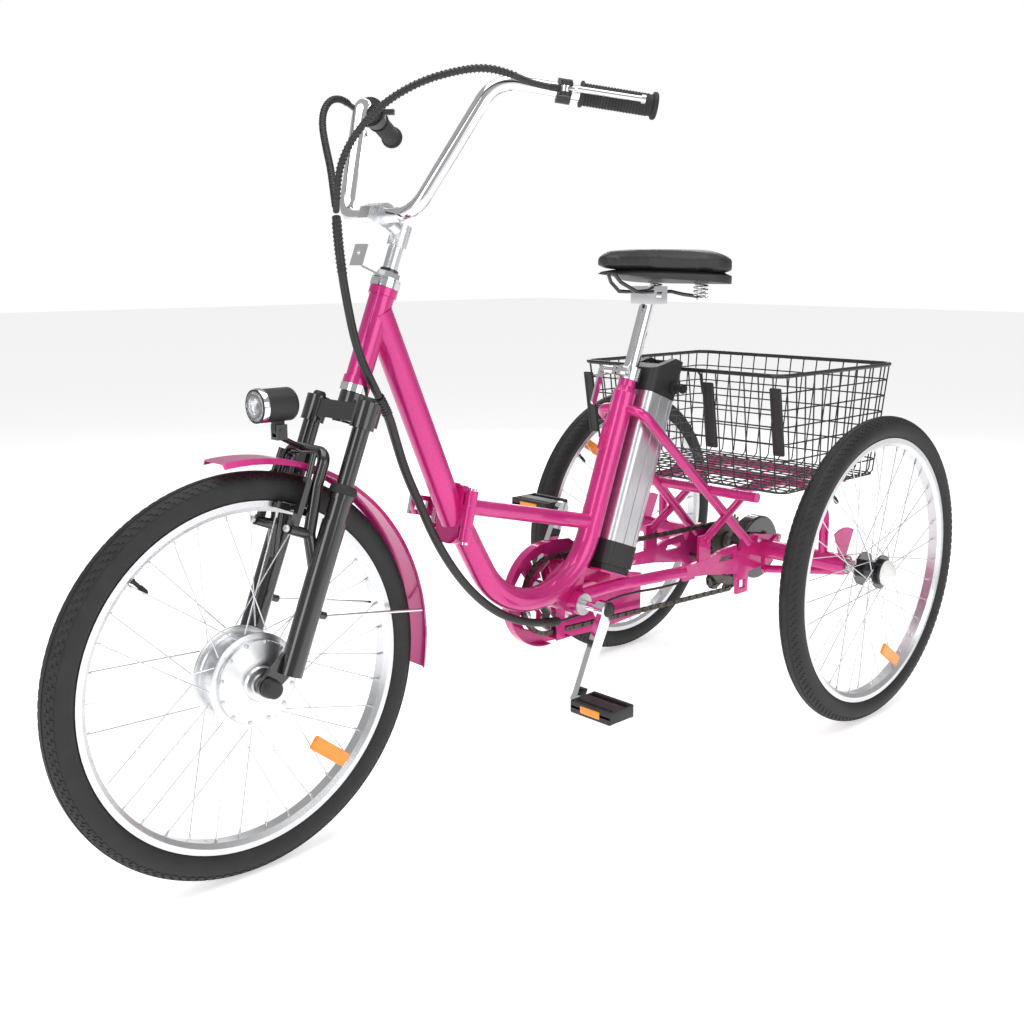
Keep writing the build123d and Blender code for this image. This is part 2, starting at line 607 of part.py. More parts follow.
def basket_level(height, inset):
    """Basket outline at a height above its floor; it narrows and shortens downwards."""
    down = 1.0 - height / BASKET_H
    x0 = BASKET_FRONT - BASKET_LEN + BASKET_TAPER_REAR * down + inset
    x1 = BASKET_FRONT - BASKET_TAPER_FRONT * down - inset
    w = BASKET_W - 2 * BASKET_TAPER_SIDE * down - 2 * inset
    return Pos((x0 + x1) / 2, 0, BASKET_Z + height) * RectangleRounded(x1 - x0, w, BASKET_CORNER - inset)


def basket():
    """Open-topped basket with straight tapering walls."""
    body = loft([basket_level(0, 0), basket_level(BASKET_H, 0)])
    return body - loft([basket_level(BASKET_WALL, BASKET_WALL), basket_level(BASKET_H + 1, BASKET_WALL)])


DOCK_H = 12.0
CAP_LOW_H = 44.0
CASE_LOW = TRAY_AT + DOCK_H + 0.4
CASE_R = 14.0
TOP_CAP_H = 76.0


def battery_section(shrink=0.0):
    """Battery cross-section in the seat plane, its front rounded."""
    back = -(BATTERY_FRONT + BATTERY_D) + shrink
    front = -BATTERY_FRONT - shrink
    width = BATTERY_W - 2 * shrink
    return Pos((front + back) / 2, 0) * RectangleRounded(front - back, width, CASE_R - shrink)


def battery_dock():
    """Black socket that the battery stands on, with the contact rail up the seat tube."""
    dock = Pos(0, 0, TRAY_AT + 0.2) * extrude(battery_section(3.0), DOCK_H - 0.2)
    return SEAT * dock


def battery_case():
    low = CASE_LOW + CAP_LOW_H
    body = Pos(0, 0, low) * extrude(battery_section(1.0), BATTERY_LEN)
    back = -(BATTERY_FRONT + BATTERY_D)
    for side in (1, -1):
        for x in (back + 22.0, back + 50.0):
            y = side * (BATTERY_W / 2 - 1.0)
            body -= block(x - 4.0, x + 4.0, y - 1.5, y + 1.5, low - 1, low + BATTERY_LEN + 1)
    return SEAT * body


def battery_caps():
    """Bottom cap, and the top cap with its sunk hand grip and lock boss."""
    low = Pos(0, 0, CASE_LOW) * extrude(battery_section(), CAP_LOW_H - 0.2)
    z0 = CASE_LOW + CAP_LOW_H + BATTERY_LEN + 0.2
    top = Pos(0, 0, z0) * extrude(battery_section(), TOP_CAP_H)
    back = -(BATTERY_FRONT + BATTERY_D)
    slope = [(-BATTERY_FRONT + 1, z0 + TOP_CAP_H - 34), (-BATTERY_FRONT + 1, z0 + TOP_CAP_H + 1),
             (back + 30, z0 + TOP_CAP_H + 1)]
    cut = Plane.XZ * make_face(Polyline(*slope, close=True))
    top -= Pos(0, 60, 0) * extrude(cut, amount=120, dir=(0, -1, 0))
    top -= block(back + 14, back + 62, -24, 24, z0 + 30, z0 + TOP_CAP_H + 5)
    top += rod((back + 18, -24.5, z0 + 54), (back + 18, 24.5, z0 + 54), 6.0)
    lock = V(back + 20.0, BATTERY_W / 2, z0 + 22.0)
    top += rod(lock - V(0, 3, 0), lock + V(0, 5, 0), 12.0)
    top -= rod(lock - V(0, 8, 0), lock + V(0, 6, 0), KEY_R + RUN_GAP)
    return [SEAT * low, SEAT * top]


KEY_R = 5.0


def battery_key():
    """Lock barrel with the key standing in it."""
    back = -(BATTERY_FRONT + BATTERY_D)
    z0 = CASE_LOW + CAP_LOW_H + BATTERY_LEN + 0.2
    lock = V(back + 20.0, BATTERY_W / 2, z0 + 22.0)
    key = rod(lock - V(0, 7.5, 0), lock + V(0, 6, 0), KEY_R)
    key += block(lock.X - 1.2, lock.X + 1.2, lock.Y + 4, lock.Y + 24, lock.Z - 4, lock.Z + 4)
    key += rod((lock.X - 1.2, lock.Y + 24, lock.Z), (lock.X + 1.2, lock.Y + 24, lock.Z), 9.0)
    return SEAT * key


COVER_R = 66.5
COVER_IN = 24.0
COVER_OUT = 55.0


def brake_cover():
    """Band brake housing beside the left plate; the drum turns inside."""
    x, z = REAR_AXLE.X, REAR_AXLE.Z
    shell = ring_y(x, z, COVER_IN, COVER_OUT, COVER_R)
    shell = fillet(shell.edges().filter_by(GeomType.CIRCLE), 4.0)
    shell -= ring_y(x, z, COVER_IN + 2.0, COVER_OUT - 2.0, COVER_R - 2.5)
    shell += ring_y(x, z, COVER_OUT - 1.0, PLATE_IN - 0.2, 24.0)
    return shell - ring_y(x, z, COVER_IN - 5, PLATE_IN + 5, AXLE_R + 3.0)


BEARING_W = 11.0


def axle_bearings():
    x, z = REAR_AXLE.X, REAR_AXLE.Z
    out = []
    for side in (1, -1):
        for y in (PLATE_IN + 1.0, HOUSING_END - BEARING_W - 1.0):
            out.append(ring_y(x, z, side * y, side * (y + BEARING_W),
                              HOUSING_R - HOUSING_WALL - RUN_GAP, AXLE_R + RUN_GAP))
    return out


def hinge_pin():
    place = Plane(origin=(PIN_Y, -KNUCKLE_END, 0), x_dir=(1, 0, 0), z_dir=(0, 1, 0))
    base = (Align.CENTER, Align.CENTER, Align.MIN)
    pin = place * Cylinder(PIN_R, 2 * KNUCKLE_END, align=base)
    for z in (-4.2, 2 * KNUCKLE_END + 0.2):
        pin += place * Pos(0, 0, z) * Cylinder(7.0, 4.0, align=base)
    pin += place * Pos(0, 0, -1.0) * Cylinder(PIN_R, 2 * KNUCKLE_END + 2.0, align=base)
    return HINGE * pin


# ------------------------------------------------------------------ drive
SPINDLE_R = 8.4
ARM_IN = 84.0
ARM_T = 12.0
SPIDER_R = 22.0
PEDAL_W = 92.0
PEDAL_LEN = 62.0
PEDAL_H = 24.0
PEDAL_AXLE_R = 5.0
PEDAL_IN = 102.0


def crank_end(side):
    a = radians(CRANK_LEAN)
    return BB + V(side * CRANK_LEN * sin(a), 0, -side * CRANK_LEN * cos(a))


def crankset():
    """Spindle, both arms with their pedal spindles, and the spider for the ring."""
    body = ring_y(BB.X, BB.Z, -ARM_IN - 2, ARM_IN + 2, SPINDLE_R)
    for side in (1, -1):
        end = crank_end(side)
        y0, y1 = side * ARM_IN, side * (ARM_IN + ARM_T)
        body += ring_y(BB.X, BB.Z, side * (ARM_IN - 8), y1, 17.0)
        body += ring_y(end.X, end.Z, y0, y1, 13.0)
        along = (end - BB).normalized()
        across = V(-along.Z, 0, along.X)
        corners = [BB + across * 14, end + across * 11, end - across * 11, BB - across * 14]
        body += side_plate([(c.X, c.Z) for c in corners], min(y0, y1), max(y0, y1))
        body += ring_y(end.X, end.Z, y1, side * (PEDAL_IN + PEDAL_W - 6.0), PEDAL_AXLE_R)
    body += ring_y(BB.X, BB.Z, -ARM_IN, CHAIN_Y + 3.0, SPIDER_R)
    body += ring_y(BB.X, BB.Z, CHAIN_Y - 5.0, CHAIN_Y - TOOTH_T / 2 - 0.2, 30.0)
    return [body, chainring()]


def chainring():
    ring = toothed_disc(BB, CHAINRING_TEETH, CHAIN_Y, TOOTH_T, SPIDER_R + 0.3)
    for i in range(5):
        a = radians(36 + 72 * i)
        hole = [(BB.X + r * cos(a + w), BB.Z + r * sin(a + w))
                for r, w in ((38, -0.34), (58, -0.44), (61, 0), (58, 0.44), (38, 0.34))]
        ring -= side_plate(hole, CHAIN_Y - 5, CHAIN_Y + 5)
    return ring


def pedal(side):
    """Pedal body with two treads; it turns on the spindle fixed in the arm."""
    end = crank_end(side)
    y0, y1 = sorted((side * PEDAL_IN, side * (PEDAL_IN + PEDAL_W)))
    half = PEDAL_LEN / 2
    frame = block(end.X - half, end.X + half, y0, y1, end.Z - PEDAL_H / 2, end.Z + PEDAL_H / 2)
    for x in (-1, 1):
        frame -= block(end.X + x * 12, end.X + x * (half - 8), y0 + 10, y1 - 8, end.Z - 20, end.Z + 20)
    return frame - ring_y(end.X, end.Z, y0 - 2, y1 + 2, PEDAL_AXLE_R + RUN_GAP)


def freewheel():
    x, z = REAR_AXLE.X, REAR_AXLE.Z
    first = CHAIN_Y + COG_PITCH * COG_TEETH.index(COG_ON)
    body = ring_y(x, z, first + 5.0, first - COG_PITCH * len(COG_TEETH) + 2.0, 20.0)
    for i, teeth in enumerate(COG_TEETH):
        body += toothed_disc(REAR_AXLE, teeth, first - COG_PITCH * i, TOOTH_T, 15.0)
    return body - ring_y(x, z, -100, 0, AXLE_R + RUN_GAP)


def rear_axle():
    """Axle with its shoulders, and the brake drum fixed on it."""
    x, z = REAR_AXLE.X, REAR_AXLE.Z
    reach = HALF_TRACK + HUB_OUT + 6.0
    axle = ring_y(x, z, -reach, reach, AXLE_R)
    for side in (1, -1):
        axle += ring_y(x, z, side * (HOUSING_END + 0.4), side * (HALF_TRACK - HUB_IN - 0.4), 12.0)
    drum = ring_y(x, z, COVER_IN + 5.0, COVER_OUT - 5.0, COVER_R - 8.0, COVER_R - 14.0)
    drum += ring_y(x, z, COVER_IN + 5.0, COVER_IN + 9.0, COVER_R - 8.0)
    return axle + drum


def derailleur():
    """Cage with both pulley pins, its arm, and the rod it shifts along."""
    y = CHAIN_Y
    body = None
    for y0, y1 in ((y - 8.5, y - 6.5), (y + 6.5, y + 8.5)):
        along = (TENSION - GUIDE).normalized()
        across = V(-along.Z, 0, along.X) * 9.0
        corners = [GUIDE + across, TENSION + across, TENSION - across, GUIDE - across]
        plate = side_plate([(c.X, c.Z) for c in corners], y0, y1)
        plate += ring_y(GUIDE.X, GUIDE.Z, y0, y1, 9.0) + ring_y(TENSION.X, TENSION.Z, y0, y1, 9.0)
        body = plate if body is None else body + plate
    for centre in (GUIDE, TENSION):
        body += ring_y(centre.X, centre.Z, y - 8.0, y + 8.0, 3.0)
    along = (GUIDE_ROD - GUIDE)
    along = V(along.X, 0, along.Z).normalized()
    across = V(-along.Z, 0, along.X) * 8.0
    corners = [GUIDE + across, GUIDE_ROD + across, GUIDE_ROD - across, GUIDE - across]
    body += side_plate([(c.X, c.Z) for c in corners], y + 7.0, y + 12.0)
    body += ring_y(GUIDE_ROD.X, GUIDE_ROD.Z, y + 7.0, y + 12.0, 9.0)
    body += ring_y(GUIDE_ROD.X, GUIDE_ROD.Z, y + 8.0, -PLATE_IN - PLATE_T - 24.0, GUIDE_ROD_R)
    return body


def pulley(centre):
    return toothed_disc(centre, PULLEY_TEETH, CHAIN_Y, TOOTH_T, 3.0 + RUN_GAP)


# ------------------------------------------------------------------ saddle and post
POST_TOP = 770.0
POST_LEN = 350.0
SADDLE_NOSE = V(BB.X - 72.0, 0, 0)
RAIL_Y = 21.0
RAIL_R = 3.5
RAIL_UP = 10.0
SADDLE_TOP = 916.0


def seat_post():
    """Post and the saddle clamp on its head."""
    base = (Align.CENTER, Align.CENTER, Align.MIN)
    post = SEAT * Pos(0, 0, POST_TOP - POST_LEN) * Cylinder(POST_R, POST_LEN, align=base)
    head = SEAT.from_local_coords(V(0, 0, POST_TOP))
    clamp = block(head.X - 19, head.X + 19, -28, 28, head.Z - 12, head.Z + 20)
    clamp += rod((head.X, -34, head.Z + 4), (head.X, 34, head.Z + 4), 6.0)
    for side in (1, -1):
        z = head.Z + RAIL_UP
        clamp -= rod((head.X - 40, side * RAIL_Y, z), (head.X + 40, side * RAIL_Y, z), RAIL_R + 0.2)
    return post + clamp


def saddle():
    """Padded saddle with its shell, two rails and two coil springs."""
    nose, rear = SADDLE_NOSE.X, SADDLE_NOSE.X - 262.0
    right = [(nose, 0), (nose - 12, 30), (nose - 60, 42), (nose - 110, 60), (nose - 160, 96),
             (nose - 205, 122), (nose - 245, 120), (rear, 96), (rear - 6, 40)]
    outline = Polyline(*right, *[(x, -y) for x, y in reversed(right[1:])], close=True)
    plan = extrude(Pos(0, 0, SADDLE_TOP - 90) * make_face(outline), 120)
    top = SADDLE_TOP
    profile = [(nose + 2, top - 22), (nose - 6, top - 4), (nose - 60, top - 4), (nose - 120, top - 12),
               (nose - 190, top - 13), (rear - 8, top - 8), (rear - 8, top - 62), (nose - 200, top - 70),
               (nose - 130, top - 54), (nose - 70, top - 44), (nose - 10, top - 36)]
    side = side_plate(profile, -140, 140)
    body = plan & side
    head = SEAT.from_local_coords(V(0, 0, POST_TOP))
    z = head.Z + RAIL_UP
    parts = [body]
    for s in (1, -1):
        front = V(nose - 34, s * 10, top - 52)
        route = [front, V(nose - 62, s * RAIL_Y, z), V(head.X - 50, s * RAIL_Y, z),
                 V(rear + 46, s * 36, z - 6)]
        parts.append(bent(route, RAIL_R, 12.0))
        parts.append(rod((rear + 42, s * 55, z - 14), (rear + 42, s * 55, top - 70.3), 15.0, 9.0))
    return parts


# ------------------------------------------------------------------ front frame
HEADSET_H = 12.0
HEAD_R = 19.0
STEER_BORE = 17.0


def front_frame():
    """Head tube, down tube and front hinge plate with its knuckle."""
    join = HEAD_TOP + (HEAD_LOW - HEAD_TOP) * 0.24
    foot = HINGE.from_local_coords(V(0, 0, HINGE_GAP / 2 + HINGE_PLATE_T / 2))
    frame = rod(foot + (foot - join).normalized() * 14.0, join, DOWN_R)
    frame += rod(HEAD_LOW, HEAD_TOP, HEAD_R)
    for z in (FORK_LENGTH, FORK_LENGTH + HEAD_TUBE_LEN - 12.0):
        frame += FORK * Pos(-FORK_OFFSET, 0, z + 6.0) * Cylinder(HEAD_R + 2.5, 12.0)
    frame += HINGE * hinge_plate(1)
    frame += HINGE * knuckle(-KNUCKLE_SPLIT, KNUCKLE_SPLIT, 1)
    frame -= HINGE * block(-70, HINGE_HALF_W - 1.0, -90, 90, -80, HINGE_GAP / 2)
    for y0, y1 in ((-80, -KNUCKLE_SPLIT), (KNUCKLE_SPLIT, 80)):
        frame -= HINGE * block(HINGE_HALF_W - 0.5, PIN_Y + 20, y0, y1, -20, 20)
    frame -= HINGE * pin_hole()
    bore_low = FORK.from_local_coords(V(-FORK_OFFSET, 0, FORK_LENGTH - 2))
    bore_top = FORK.from_local_coords(V(-FORK_OFFSET, 0, FORK_LENGTH + HEAD_TUBE_LEN + 2))
    return frame - rod(bore_low, bore_top, STEER_BORE)


def headset_cups():
    """Lower and upper cups with their bearings; the steerer turns inside."""
    out = []
    for z, lip in ((FORK_LENGTH - HEADSET_H, 1), (FORK_LENGTH + HEAD_TUBE_LEN + 0.2, -1)):
        base = (Align.CENTER, Align.CENTER, Align.MIN)
        height = HEADSET_H - 0.2
        cup = Pos(-FORK_OFFSET, 0, z) * Cylinder(HEAD_R + 3.5, height, align=base)
        start = z if lip > 0 else z - 8.0
        cup += Pos(-FORK_OFFSET, 0, start) * Cylinder(STEER_BORE - 0.1, height + 8.0, align=base)
        cup -= Pos(-FORK_OFFSET, 0, z - 20) * Cylinder(STEERER_R + RUN_GAP, 60.0, align=base)
        out.append(FORK * cup)
    return out


LATCH_Y = -HINGE_HALF_W - 9.0


def fold_latch():
    """Latch lever beside the hinge: it opens away from the frame on the right."""
    base = (Align.CENTER, Align.CENTER, Align.MIN)
    place = Plane(origin=(LATCH_Y, -22, 6.0), x_dir=(1, 0, 0), z_dir=(0, 1, 0))
    lever = place * Cylinder(6.0, 44.0, align=base)
    lever += block(LATCH_Y - 5, LATCH_Y + 1, -12, 20, 6, 62)
    lever -= block(LATCH_Y - 9, LATCH_Y + 5, -4, 12, 26, 52)
    lever -= place * Pos(0, 0, -5) * Cylinder(2.5 + RUN_GAP, 60.0, align=base)
    return HINGE * lever


def latch_ears():
    """Two ears on the rear hinge plate with the latch's pin between them."""
    base = (Align.CENTER, Align.CENTER, Align.MIN)
    place = Plane(origin=(LATCH_Y, -30, 6.0), x_dir=(1, 0, 0), z_dir=(0, 1, 0))
    ears = place * Cylinder(2.5, 60.0, align=base)
    for y0, y1 in ((-30, -22.4), (22.4, 30)):
        ears += block(LATCH_Y - 5, -HINGE_HALF_W + 6, y0, y1, -7, -0.4)
        ears += block(LATCH_Y - 5, LATCH_Y + 5, y0, y1, -7, 10)
    return HINGE * ears


# ------------------------------------------------------------------ fork
CROWN_LOW = 388.0
CROWN_TOP = 428.0
STANCHION_R = 13.0
STANCHION_LOW = 150.0
LOWER_R = 18.0
LOWER_TOP = 290.0
LOWER_FOOT = 22.0
STEERER_TOP = FORK_LENGTH + HEAD_TUBE_LEN + 30.0


def fork_crown():
    """Steerer, crown and both stanchions as the pressed and welded upper fork."""
    base = (Align.CENTER, Align.CENTER, Align.MIN)
    x, leg = -FORK_OFFSET, -LEG_SETBACK
    body = Pos(x, 0, CROWN_LOW + 6) * Cylinder(STEERER_R, STEERER_TOP - CROWN_LOW - 6, align=base)
    body += Pos(x, 0, CROWN_LOW + 6) * Cylinder(20.0, FORK_LENGTH - HEADSET_H - CROWN_LOW - 6.5, align=base)
    body += block(x - 12, leg + 8, -LEG_SPREAD, LEG_SPREAD, CROWN_LOW + 8, CROWN_TOP - 4)
    for side in (1, -1):
        body += Pos(leg, side * LEG_SPREAD, CROWN_LOW) * Cylinder(18.0, CROWN_TOP - CROWN_LOW, align=base)
        body += Pos(leg, side * LEG_SPREAD, STANCHION_LOW) * Cylinder(
            STANCHION_R, CROWN_LOW - STANCHION_LOW + 5, align=base)
        body -= Pos(leg, side * LEG_SPREAD, STANCHION_LOW - 1) * Cylinder(
            STANCHION_R - 2.5, 200.0, align=base)
    body -= Pos(x, 0, QUILL_LOW - 40) * Cylinder(QUILL_R + SLIDE_GAP, 400.0, align=base)
    return FORK * body


def fork_lowers():
    """Both lower legs, the brace over the tyre, dropouts, brake bosses and eyelets."""
    base = (Align.CENTER, Align.CENTER, Align.MIN)
    leg = -LEG_SETBACK
    half = [(leg, LEG_SPREAD - 4, BOSS_W - 60), (-6, BOSS_Y + 4, BOSS_W), (BRACE_U, BRACE_HALF, BOSS_W + 70),
            (BRACE_U, BRACE_HALF, BRACE_W)]
    brace = half + [(u, -y, w) for u, y, w in reversed(half)]
    body = bent(brace, 9.0, [30, 30, 16, 16, 30, 30])
    body += block(BRACE_U - 7, BRACE_U + 7, -9, 9, FENDER_IN + FENDER_DEEP + SEAT_GAP, BRACE_W)
    for side in (1, -1):
        y = side * LEG_SPREAD
        body += Pos(leg, y, LOWER_FOOT) * Cylinder(LOWER_R, LOWER_TOP - LOWER_FOOT - 40, align=base)
        body += Pos(leg, y, LOWER_TOP - 41) * Cylinder(LOWER_R - 2, 36, align=base)
        body += Pos(leg, y, LOWER_TOP - 8) * Cylinder(LOWER_R, 8, align=base)
        y0, y1 = sorted((side * DROPOUT_Y, side * (DROPOUT_Y + DROPOUT_T)))
        body += side_plate([(leg, LOWER_FOOT + 30), (leg, LOWER_FOOT - 4), (-9, -DROPOUT_R + 3), (0, 0),
                            (12, 8), (leg + LOWER_R, LOWER_FOOT + 30)], y0, y1)
        body += rod((0, y0, 0), (0, y1, 0), DROPOUT_R)
        body += rod((-6, side * (BOSS_Y + 4), BOSS_W), (BOSS_U, side * (BOSS_Y + 4), BOSS_W), 8.0)
        boss_y = side * (BOSS_Y + 4)
        body += rod((BOSS_U - 1, boss_y, BOSS_W), (BOSS_U + 14, boss_y, BOSS_W), 4.0)
        body += rod((leg - LOWER_R + 3, y, 115), (leg - LOWER_R - 12, y, 115), 6.0)
    for side in (1, -1):
        y = side * LEG_SPREAD
        body -= Pos(leg, y, STANCHION_LOW - FORK_TRAVEL - 5) * Cylinder(
            STANCHION_R + SLIDE_GAP, 300, align=base)
    body -= rod((0, -90, 0), (0, 90, 0), FRONT_AXLE_R + 0.1)
    return [FORK * body, headlight_bracket()]


BOSS_W = 222.0
BOSS_Y = 40.0
BOSS_U = 18.0
BRACE_U = 6.0
FENDER_HALF_W = 30.0
BRACE_HALF = FENDER_HALF_W + 15.0
BRACE_W = 340.0
FORK_TRAVEL = 45.0
QUILL_LOW = FORK_LENGTH + 60.0
FENDER_IN = WHEEL_R + 12.0
FENDER_T = 2.0
FENDER_DEEP = 8.0
FENDER_FROM = 84.0
FENDER_TO = 190.0


def front_fender():
    """Arched strip with rolled edges, cut to its arc."""
    c = FRONT_AXLE
    top = FENDER_IN + FENDER_DEEP
    outline = [(FENDER_IN, -FENDER_HALF_W), (top, -FENDER_HALF_W + 6), (top, FENDER_HALF_W - 6),
               (FENDER_IN, FENDER_HALF_W), (FENDER_IN, FENDER_HALF_W - FENDER_T - 1),
               (top - FENDER_T, FENDER_HALF_W - 7), (top - FENDER_T, -FENDER_HALF_W + 7),
               (FENDER_IN, -FENDER_HALF_W + FENDER_T + 1)]
    section = Plane.XZ * make_face(Polyline(*outline, close=True))
    arc = revolve(section, Axis.Z, revolution_arc=FENDER_TO - FENDER_FROM)
    place = Plane(origin=c, x_dir=(cos(radians(FENDER_TO)), 0, sin(radians(FENDER_TO))), z_dir=(0, 1, 0))
    return place * arc


def fender_stays():
    """Two chrome wires from the leg eyelets to the fender's edge."""
    out = []
    a = radians(172.0)
    for side in (1, -1):
        eye = FORK.from_local_coords(V(-LEG_SETBACK - LOWER_R - 15, side * LEG_SPREAD, 115))
        reach = FENDER_IN - 3.2
        tip = FRONT_AXLE + V(reach * cos(a), side * (FENDER_HALF_W - 2), reach * sin(a))
        out.append(rod(eye, tip, 2.5))
    return out


PAD_W = 251.0
ARM_TOP_W = 328.0


def brake_arm(side):
    """One arm of the rim brake, pivoting on its boss, with its pad."""
    y = side * (BOSS_Y + 4)
    u0 = BOSS_U + 0.3
    place = rod((u0, y, BOSS_W), (u0 + 12, y, BOSS_W), 8.0)
    arm = place + block(u0, u0 + 9, y - 5, y + 5, BOSS_W, ARM_TOP_W - 30)
    arm += rod((u0 + 4.5, y, ARM_TOP_W - 32), (u0 + 4.5, side * (BOSS_Y + 1), ARM_TOP_W + 6), 4.5)
    pad_in = side * (RIM_W / 2 + 2.5)
    stub = rod((u0 + 4.5, y, PAD_W), (u0 + 4.5, pad_in + side * 5, PAD_W), 4.0)
    pad = block(u0 - 24, u0 + 30, pad_in, pad_in + side * 8, PAD_W - 5, PAD_W + 5)
    arm = arm + stub + pad
    return FORK * (arm - rod((u0 - 5, y, BOSS_W), (u0 + 30, y, BOSS_W), 4.0 + RUN_GAP))


LIGHT_R = 24.0
LIGHT_LEN = 62.0


def headlight():
    """Round lamp housing on its bracket knuckle, open at the front for the lens."""
    x, z = LIGHT_AT.X, LIGHT_AT.Z
    body = rod((x - LIGHT_LEN / 2, 0, z), (x + LIGHT_LEN / 2, 0, z), LIGHT_R)
    body = fillet(body.edges().filter_by(GeomType.CIRCLE).sort_by(Axis.X)[0], 8.0)
    body -= rod((x + LIGHT_LEN / 2 - 14, 0, z), (x + LIGHT_LEN / 2 + 1, 0, z), LIGHT_R - 2.0)
    body += block(x - 14, x + 2, -5, 5, z - LIGHT_R - 12, z - LIGHT_R + 3)
    body += rod((x - 6, -5, z - LIGHT_R - 12), (x - 6, 5, z - LIGHT_R - 12), 8.0)
    return body - rod((x - 6, -9, z - LIGHT_R - 12), (x - 6, 9, z - LIGHT_R - 12), 2.5 + RUN_GAP)


LIGHT_AT = V(FRONT_AXLE.X - 66.0, 0, FRONT_AXLE.Z + 388.0)
LIGHT_PIVOT = V(LIGHT_AT.X - 6, 0, LIGHT_AT.Z - LIGHT_R - 12)


def headlight_lens():
    x, z = LIGHT_AT.X, LIGHT_AT.Z
    return rod((x + LIGHT_LEN / 2 - 13.8, 0, z), (x + LIGHT_LEN / 2, 0, z), LIGHT_R - 2.3)


def headlight_bracket():
    """Arm from the fork brace to the lamp's clevis."""
    p = LIGHT_PIVOT
    root = FORK.from_local_coords(V(BRACE_U + 9.3, 0, BRACE_W))
    pin = rod((p.X, -9.5, p.Z), (p.X, 9.5, p.Z), 2.5)
    arm = pin
    for side in (1, -1):
        arm += block(p.X - 10, p.X + 7, side * 5.4, side * 8.4, p.Z - 12, p.Z + 8)
    arm += block(p.X - 10, p.X + 7, -8.4, 8.4, p.Z - 14, p.Z - 10)
    arm += rod((p.X - 5, 0, p.Z - 12), root, 4.0)
    return arm


# ------------------------------------------------------------------ stem and bar
CLAMP_U = 3.0
CLAMP_W = FORK_LENGTH + 248.0
RISE = 183.0
BAR_CENTRE = FORK.from_local_coords(V(CLAMP_U, 0, CLAMP_W))


def stem():
    """Quill with its forward extension and bar clamp."""
    base = (Align.CENTER, Align.CENTER, Align.MIN)
    x = -FORK_OFFSET
    body = Pos(x, 0, QUILL_LOW) * Cylinder(QUILL_R, CLAMP_W - 26 - QUILL_LOW, align=base)
    body += Pos(x, 0, CLAMP_W - 30) * Cylinder(15.0, 34.0, align=base)
    body += rod((x, 0, CLAMP_W - 8), (CLAMP_U - 10, 0, CLAMP_W), 12.0)
    body += rod((CLAMP_U, -21, CLAMP_W), (CLAMP_U, 21, CLAMP_W), 18.0)
    body += block(CLAMP_U + 8, CLAMP_U + 26, -12, 12, CLAMP_W - 14, CLAMP_W + 4)
    body -= rod((CLAMP_U, -30, CLAMP_W), (CLAMP_U, 30, CLAMP_W), CLAMP_BAR_R + RUN_GAP)
    return FORK * body


BAR_FLAT = 83.0
BAR_TOP_HALF = 156.0
BAR_TOP = V(BAR_CENTRE.X - 91.0, BAR_TOP_HALF, BAR_CENTRE.Z + RISE)
BAR_END = V(BAR_CENTRE.X - 268.0, BAR_HALF, BAR_CENTRE.Z + RISE - 33.0)


def mirrored(point):
    return V(point.X, -point.Y, point.Z)


def handlebar():
    """High-rise bar: flat middle, risers and swept-back ends, with its clamp sleeve."""
    low = BAR_CENTRE + V(0, BAR_FLAT, 0)
    route = [BAR_END, BAR_TOP, low, mirrored(low), mirrored(BAR_TOP), mirrored(BAR_END)]
    bar = bent(route, BAR_R, [48, 45, 45, 48])
    return bar + rod(BAR_CENTRE - V(0, 28, 0), BAR_CENTRE + V(0, 28, 0), CLAMP_BAR_R)


def on_bar(side, distance):
    """Point on the bar's swept-back end, measured from its tip, and the way to the tip."""
    end = BAR_END if side > 0 else mirrored(BAR_END)
    bend = BAR_TOP if side > 0 else mirrored(BAR_TOP)
    way = (end - bend).normalized()
    return end - way * distance, way


GRIP_LEN = 112.0
THROTTLE_LEN = 115.0
GRIP_R = 15.5


def grip(side, length, first=0.0):
    """Sleeve on the bar with an end flange and a closed end."""
    end, way = on_bar(side, 0)
    start = end - way * length
    body = rod(start, end + way * 3.5, GRIP_R)
    body += rod(end - way * 3.0, end + way * 3.5, GRIP_R + 4)
    body += rod(start, start + way * 4.0, GRIP_R + 3)
    return body - rod(start - way, end + way * 0.4, BAR_R + RUN_GAP)


LEVER_AT = 134.0
LEVER_OUT = 24.0
ENTRY_OUT = 20.0


def lever_plane(side):
    """Plane at a brake lever's clamp: x forward of the bar, y outward along it, z up."""
    point, way = on_bar(side, LEVER_AT)
    forward = V(0, 0, 1).cross(way).normalized()
    if forward.Y * side < 0:
        forward = forward * -1
    return Plane(origin=point, x_dir=forward, z_dir=way)


def lever_mounts():
    """Clamp bands with the lever perches; the right one also carries the shifter."""
    out = []
    for side in (1, -1):
        place = lever_plane(side)
        body = Cylinder(17.0, 20.0) + block(8, LEVER_OUT + 8, -8, 8, -9, 9)
        body += rod((LEVER_OUT, -10, 0), (LEVER_OUT, 10, 0), 9.0)
        body -= block(LEVER_OUT - 12, LEVER_OUT + 20, -4.4, 4.4, -20, 20)
        body += rod((LEVER_OUT, -9, 0), (LEVER_OUT, 9, 0), 3.0)
        body += rod((ENTRY_OUT, 0, -8), (ENTRY_OUT, 0, -22), 5.0)
        if side < 0:
            body += shifter_pod()
        body -= Cylinder(BAR_R + RUN_GAP, 200.0)
        out.append(place * body)
    return out


POD_AT = -34.0
POD_R = 20.0


def shifter_pod():
    """Shifter pod inboard of the right perch, joined to its clamp."""
    return Pos(0, 0, POD_AT) * Cylinder(POD_R, 18.0) + Pos(0, 0, POD_AT / 2) * Cylinder(16.0, 20.0)


